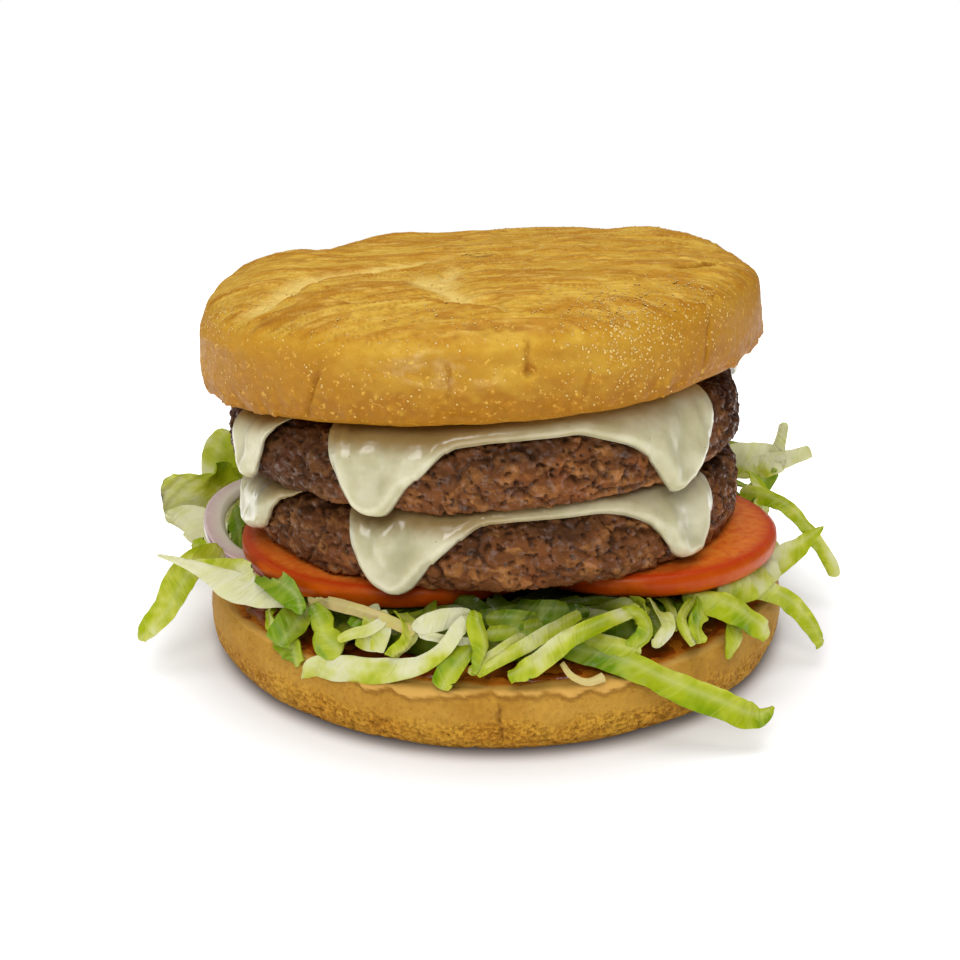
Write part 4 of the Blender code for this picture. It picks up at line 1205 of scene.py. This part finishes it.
def leaf_surface():
    look = Surface("lettuce", Roughness=0.42, Specular_IOR_Level=0.16, Coat_Weight=0.1, Coat_Roughness=0.1)
    green, along, aside = look.mark("green"), look.mark("along"), look.mark("aside")
    level = look.calc("ADD", green, look.range(look.noise(10, 3, roughness=0.6), 0.3, 0.7, -0.38, 0.36))
    level = look.calc("ADD", level, look.times(aside, 0.07))
    look.colour = look.mix(look.range(level, -0.3, 0.3), srgb(240, 238, 200), srgb(208, 212, 74))
    look.paint((178, 192, 24), look.range(level, 0.15, 0.5))
    look.paint((118, 156, 4), look.range(level, 0.5, 1.0))
    look.paint((228, 204, 136), look.range(green, -0.55, -0.75))
    look.paint((230, 230, 170), look.mark("rib"), 0.3)
    slant = look.calc("MULTIPLY_ADD", aside, 0.7)
    look.feed(slant.node.inputs[2], along)
    flat = look.add("ShaderNodeCombineXYZ", {"X": slant, "Y": look.times(aside, 0.2), "Z": green})
    bands = look.noise_at(flat.outputs[0], 0.3, 1.5)
    vein = look.range(look.calc("ABSOLUTE", look.calc("SUBTRACT", bands, 0.52)), 0.045, 0.0)
    look.paint((216, 220, 80), look.range(bands, 0.52, 0.7, 0, 0.3))
    look.paint((226, 230, 104), vein, 0.22)
    ripple = look.noise_at(flat.outputs[0], 1.3, 2.0)
    away = look.add("ShaderNodeVectorMath", {0: look.place, 1: (1, 1, 0)}, operation="MULTIPLY").outputs[0]
    away = look.add("ShaderNodeVectorMath", {0: away}, operation="LENGTH").outputs["Value"]
    shade = look.range(away, 0.048, 0.0605, 0.85, 0.0)
    look.paint((66, 82, 10), shade, blend="MULTIPLY")
    look.into("Base Color", look.colour)
    look.into("Roughness", look.range(look.noise(2.5, 3), 0.35, 0.65, 0.5, 0.22))
    normal = look.bump(vein, 0.05, look.bump(ripple, 0.2))
    look.into("Normal", normal)
    through = look.mix(0.5, look.colour, srgb(186, 196, 30))
    glow = look.add("ShaderNodeBsdfTranslucent", {"Color": through, "Normal": normal})
    both = look.add("ShaderNodeMixShader", {0: 0.28, 1: look.shader.outputs[0], 2: glow.outputs[0]})
    look.tree.links.new(both.outputs[0], look.tree.nodes["Material Output"].inputs["Surface"])
    return look.material


def core_place(azimuth, share):
    radius = CORE_RADIUS + 1.5 * noise.noise(polar(azimuth, 4.0))
    side = 1 - share if share > 0.5 else share
    bulge = max(0.0, side / 0.4 - 1) * 4 * math.pi / 2
    point = polar(azimuth, (radius - CORE_EDGE) * min(1.0, side / 0.4) + CORE_EDGE * math.sin(bulge))
    bottom = HEEL_HEIGHT + 0.5
    top = min(heap_ceiling(point.x, point.y) - 1.0, CORE_TOP)
    middle = (top + bottom) / 2
    point.z = middle + (top - middle) * math.cos(bulge) * (-1 if share > 0.5 else 1)
    return point


def core_relief(point, normal):
    fold = abs(bumps(point, (7, 7, 3), 2.0, 2))
    offset = -1.4 * smooth(fold, 0.3, 0.0) * smooth(normal.z, -0.5, 0.2)
    return offset, 1.0, 0.0, point.x + 0.4 * point.y, 0.0


def make_lettuce():
    surface = leaf_surface()
    segments, rings = 220, 44
    verts, faces = turned_piece(core_place, segments, [k / rings for k in range(1, rings)])
    verts, marks = carve(verts, faces, core_relief, LEAF_MARKS)
    core = new_object("lettuce_core", (verts, faces, marks), surface)
    finish_piece(core, "lettuce", "lettuce")
    chance = random.Random(11)
    loose = [fill_shred(chance) for _ in range(FILL_SHREDS)]
    for name, shreds in (("lettuce_shreds", PLACED_SHREDS), ("lettuce_filling", loose)):
        heap = ([], [], {mark: [] for mark in LEAF_MARKS})
        for seed, shred in enumerate(shreds):
            leaf(*shred, seed * 3.7, heap)
        piece = new_object(name, heap, surface)
        piece.data.set_sharp_from_angle(angle=math.radians(55))
        finish_piece(piece, "lettuce", "lettuce")


# ---------------------------------------------------------------- sauce, semolina and crumbs


def make_sauce():
    """Thin sauce soaked over the heel's cut face. Where it runs out it dips under the crust."""
    rings, segments, inner, outer = 30, 320, 42, 59.4
    verts, faces = [], []
    for ring in range(rings + 1):
        reach = inner + (outer - inner) * ring / rings
        for k in range(segments):
            point = polar(360 * k / segments, reach)
            pool = bumps(point, (8, 8, 8), 21.0, 2) + 0.3 * bumps(point, (3, 3, 3), 2.0)
            depth = 0.9 * pool + 0.25 - 1.6 * smooth(reach, 57.2, outer) - 0.8 * fade(reach, inner, 45)
            point.z = HEEL_HEIGHT + max(-0.9, depth)
            verts.append(point)
    for ring in range(rings):
        for k in range(segments):
            a, b = ring * segments + k, ring * segments + (k + 1) % segments
            faces.append((a, a + segments, b + segments, b))
    look = Surface("sauce", Roughness=0.16, Specular_IOR_Level=0.6, Coat_Weight=0.4, Coat_Roughness=0.05)
    tone = look.noise(4, 3)
    look.into("Base Color", look.mix(look.range(tone, 0.35, 0.65), srgb(122, 42, 4), srgb(166, 76, 14)))
    look.into("Normal", look.bump(look.noise(1.6, 2), 0.2))
    finish_piece(new_object("sauce", (verts, faces), look.material), "sauce")


# A grain of semolina: a top, five corners round it and a bottom.
GRAIN_POINTS = (
    (0, 0, 1), (0.9, 0, 0.3), (0.2, 0.9, 0.3), (-0.8, 0.5, 0.3), (-0.7, -0.6, 0.3), (0.3, -0.9, 0.3),
    (0, 0, -1),
)
GRAIN_FORM = [Vector(point).normalized() for point in GRAIN_POINTS]
GRAIN_FACES = [(0, 1 + k, 1 + (k + 1) % 5) for k in range(5)]
GRAIN_FACES += [(6, 1 + (k + 1) % 5, 1 + k) for k in range(5)]
CROWDED = 8  # mm round the crown's middle, where its points lie too close to choose among
# Where semolina lies thick on the crown: middle, reach, number of grains.
SEMOLINA = (
    ((22, -48, 76), 12, 620), ((35, -36, 79), 9, 200), ((-51, -25, 70), 12, 180), ((-10, -54, 75), 16, 120),
    ((-30, -46, 72), 15, 80), ((12, 48, 75), 16, 200), ((-44, 30, 74), 14, 160), ((44, 28, 76), 13, 160),
    ((0, 0, 80), 50, 200),
)


def make_semolina(crown):
    """Grains of semolina stuck to the crust, in clusters."""
    chance = random.Random(5)
    skin = [(v.co / MM, v.normal.copy()) for v in crown.data.vertices if v.normal.z > -0.35]
    skin = [(spot, normal) for spot, normal in skin if plan_distance(spot, CROWN_CENTRE) > CROWDED]
    verts, faces = [], []
    for middle, reach, count in SEMOLINA:
        middle = Vector(middle)
        near = [spot for spot in skin if (spot[0] - middle).length < reach * 1.4]
        laid = 0
        while laid < count and near:
            spot, normal = chance.choice(near)
            if chance.random() > math.exp(-((spot - middle).length / reach) ** 2 * 2.2) + 0.05:
                continue
            laid += 1
            if spot.z > CROWN_CEILING - 0.4:
                continue
            size = chance.uniform(0.12, 0.3)
            spin = Matrix.Rotation(chance.uniform(0, 6.28), 3, normal)
            lie = normal.to_track_quat("Z", "Y").to_matrix()
            first = len(verts)
            jitter = Vector((chance.gauss(0, 0.2), chance.gauss(0, 0.2), 0))
            for point in GRAIN_FORM:
                shaped = Vector((point.x * size, point.y * size, point.z * size * 0.5))
                verts.append(spot + spin @ lie @ (shaped + jitter) + normal * size * 0.1)
            faces += [tuple(first + k for k in face) for face in GRAIN_FACES]
    look = Surface("semolina", Roughness=0.35, Specular_IOR_Level=0.5, Subsurface_Weight=0.1)
    tone = look.range(look.noise(1.5, 1), 0.4, 0.6)
    look.into("Base Color", look.mix(tone, srgb(238, 202, 118), srgb(222, 178, 88)))
    grains = new_object("semolina", (verts, faces), look.material)
    finish_piece(grains, "crown_crust")


# ---------------------------------------------------------------- stage

CAMERA_ELEVATION, CAMERA_DISTANCE, CAMERA_TARGET = 18.5, 0.28, 0.04  # degrees, metres, metres


def make_camera():
    turn = math.radians(CAMERA_ELEVATION)
    away = Vector((0, -math.cos(turn), math.sin(turn)))
    lens = bpy.data.cameras.new("camera")
    lens.lens, lens.sensor_width, lens.clip_start = 48.975, 36, 0.01
    lens.shift_x, lens.shift_y = -0.0177, -0.0433
    camera = bpy.data.objects.new("camera", lens)
    bpy.context.scene.collection.objects.link(camera)
    camera.location = away * CAMERA_DISTANCE + UP * CAMERA_TARGET
    camera.rotation_euler = (-away).to_track_quat("-Z", "Y").to_euler()
    bpy.context.scene.camera = camera


def add_softbox(name, place, size, power):
    light = bpy.data.lights.new(name, "AREA")
    light.shape, light.size, light.energy = "DISK", size, power
    lamp = bpy.data.objects.new(name, light)
    bpy.context.scene.collection.objects.link(lamp)
    lamp.location = place
    lamp.rotation_euler = (UP * CAMERA_TARGET - Vector(place)).to_track_quat("-Z", "Y").to_euler()


FLOOR_RADIUS, FLOOR_HEIGHT, FLOOR_CORNERS = 420, -0.05, 128
AMBIENT = 0.25


def make_stage():
    world = bpy.data.worlds.new("studio")
    world.use_nodes = True
    nodes, links = world.node_tree.nodes, world.node_tree.links
    seen = nodes.new("ShaderNodeLightPath").outputs["Is Camera Ray"]
    strength = nodes.new("ShaderNodeMapRange")
    strength.inputs["To Min"].default_value = AMBIENT
    links.new(seen, strength.inputs["Value"])
    background = nodes["Background"]
    background.inputs["Color"].default_value = (1, 1, 1, 1)
    links.new(strength.outputs["Result"], background.inputs["Strength"])
    bpy.context.scene.world = world
    bpy.context.scene.view_settings.view_transform = "Standard"
    add_softbox("top_softbox", (-0.02, -0.08, 1.1), size=1.0, power=7.5)
    add_softbox("front_softbox", (-0.1, -0.65, 0.62), size=0.45, power=2.8)
    paint = Surface("floor_paint", Roughness=0.7, Specular_IOR_Level=0.2, Emission_Color=(1, 1, 1, 1))
    reach = paint.add("ShaderNodeVectorMath", {0: paint.place}, operation="LENGTH").outputs["Value"]
    # the floor glows, faintly near the burger and fully from 108 mm out
    paint.into("Emission Strength", paint.range(reach, 0.06, 0.108, 0.06, 1.0))
    pale = paint.mix(paint.noise(40, 2), (0.91, 0.92, 0.94, 1), (0.88, 0.89, 0.91, 1))
    # painted contact shadow: the floor darkens under the heel and fades out by 64 mm from the middle
    paint.into("Base Color", paint.mix(paint.range(reach, 0.064, 0.057), pale, (0.2, 0.14, 0.1, 1)))
    rim = [polar(360 * k / FLOOR_CORNERS, FLOOR_RADIUS, FLOOR_HEIGHT) for k in range(FLOOR_CORNERS)]
    floor = new_object("floor", (rim, [tuple(reversed(range(FLOOR_CORNERS)))]), paint.material)


def main():
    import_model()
    make_camera()
    make_stage()
    crown = make_crown()
    make_heel()
    make_patties()
    make_cheeses()
    make_tomatoes()
    make_onion()
    make_lettuce()
    make_sauce()
    make_semolina(crown)


main()
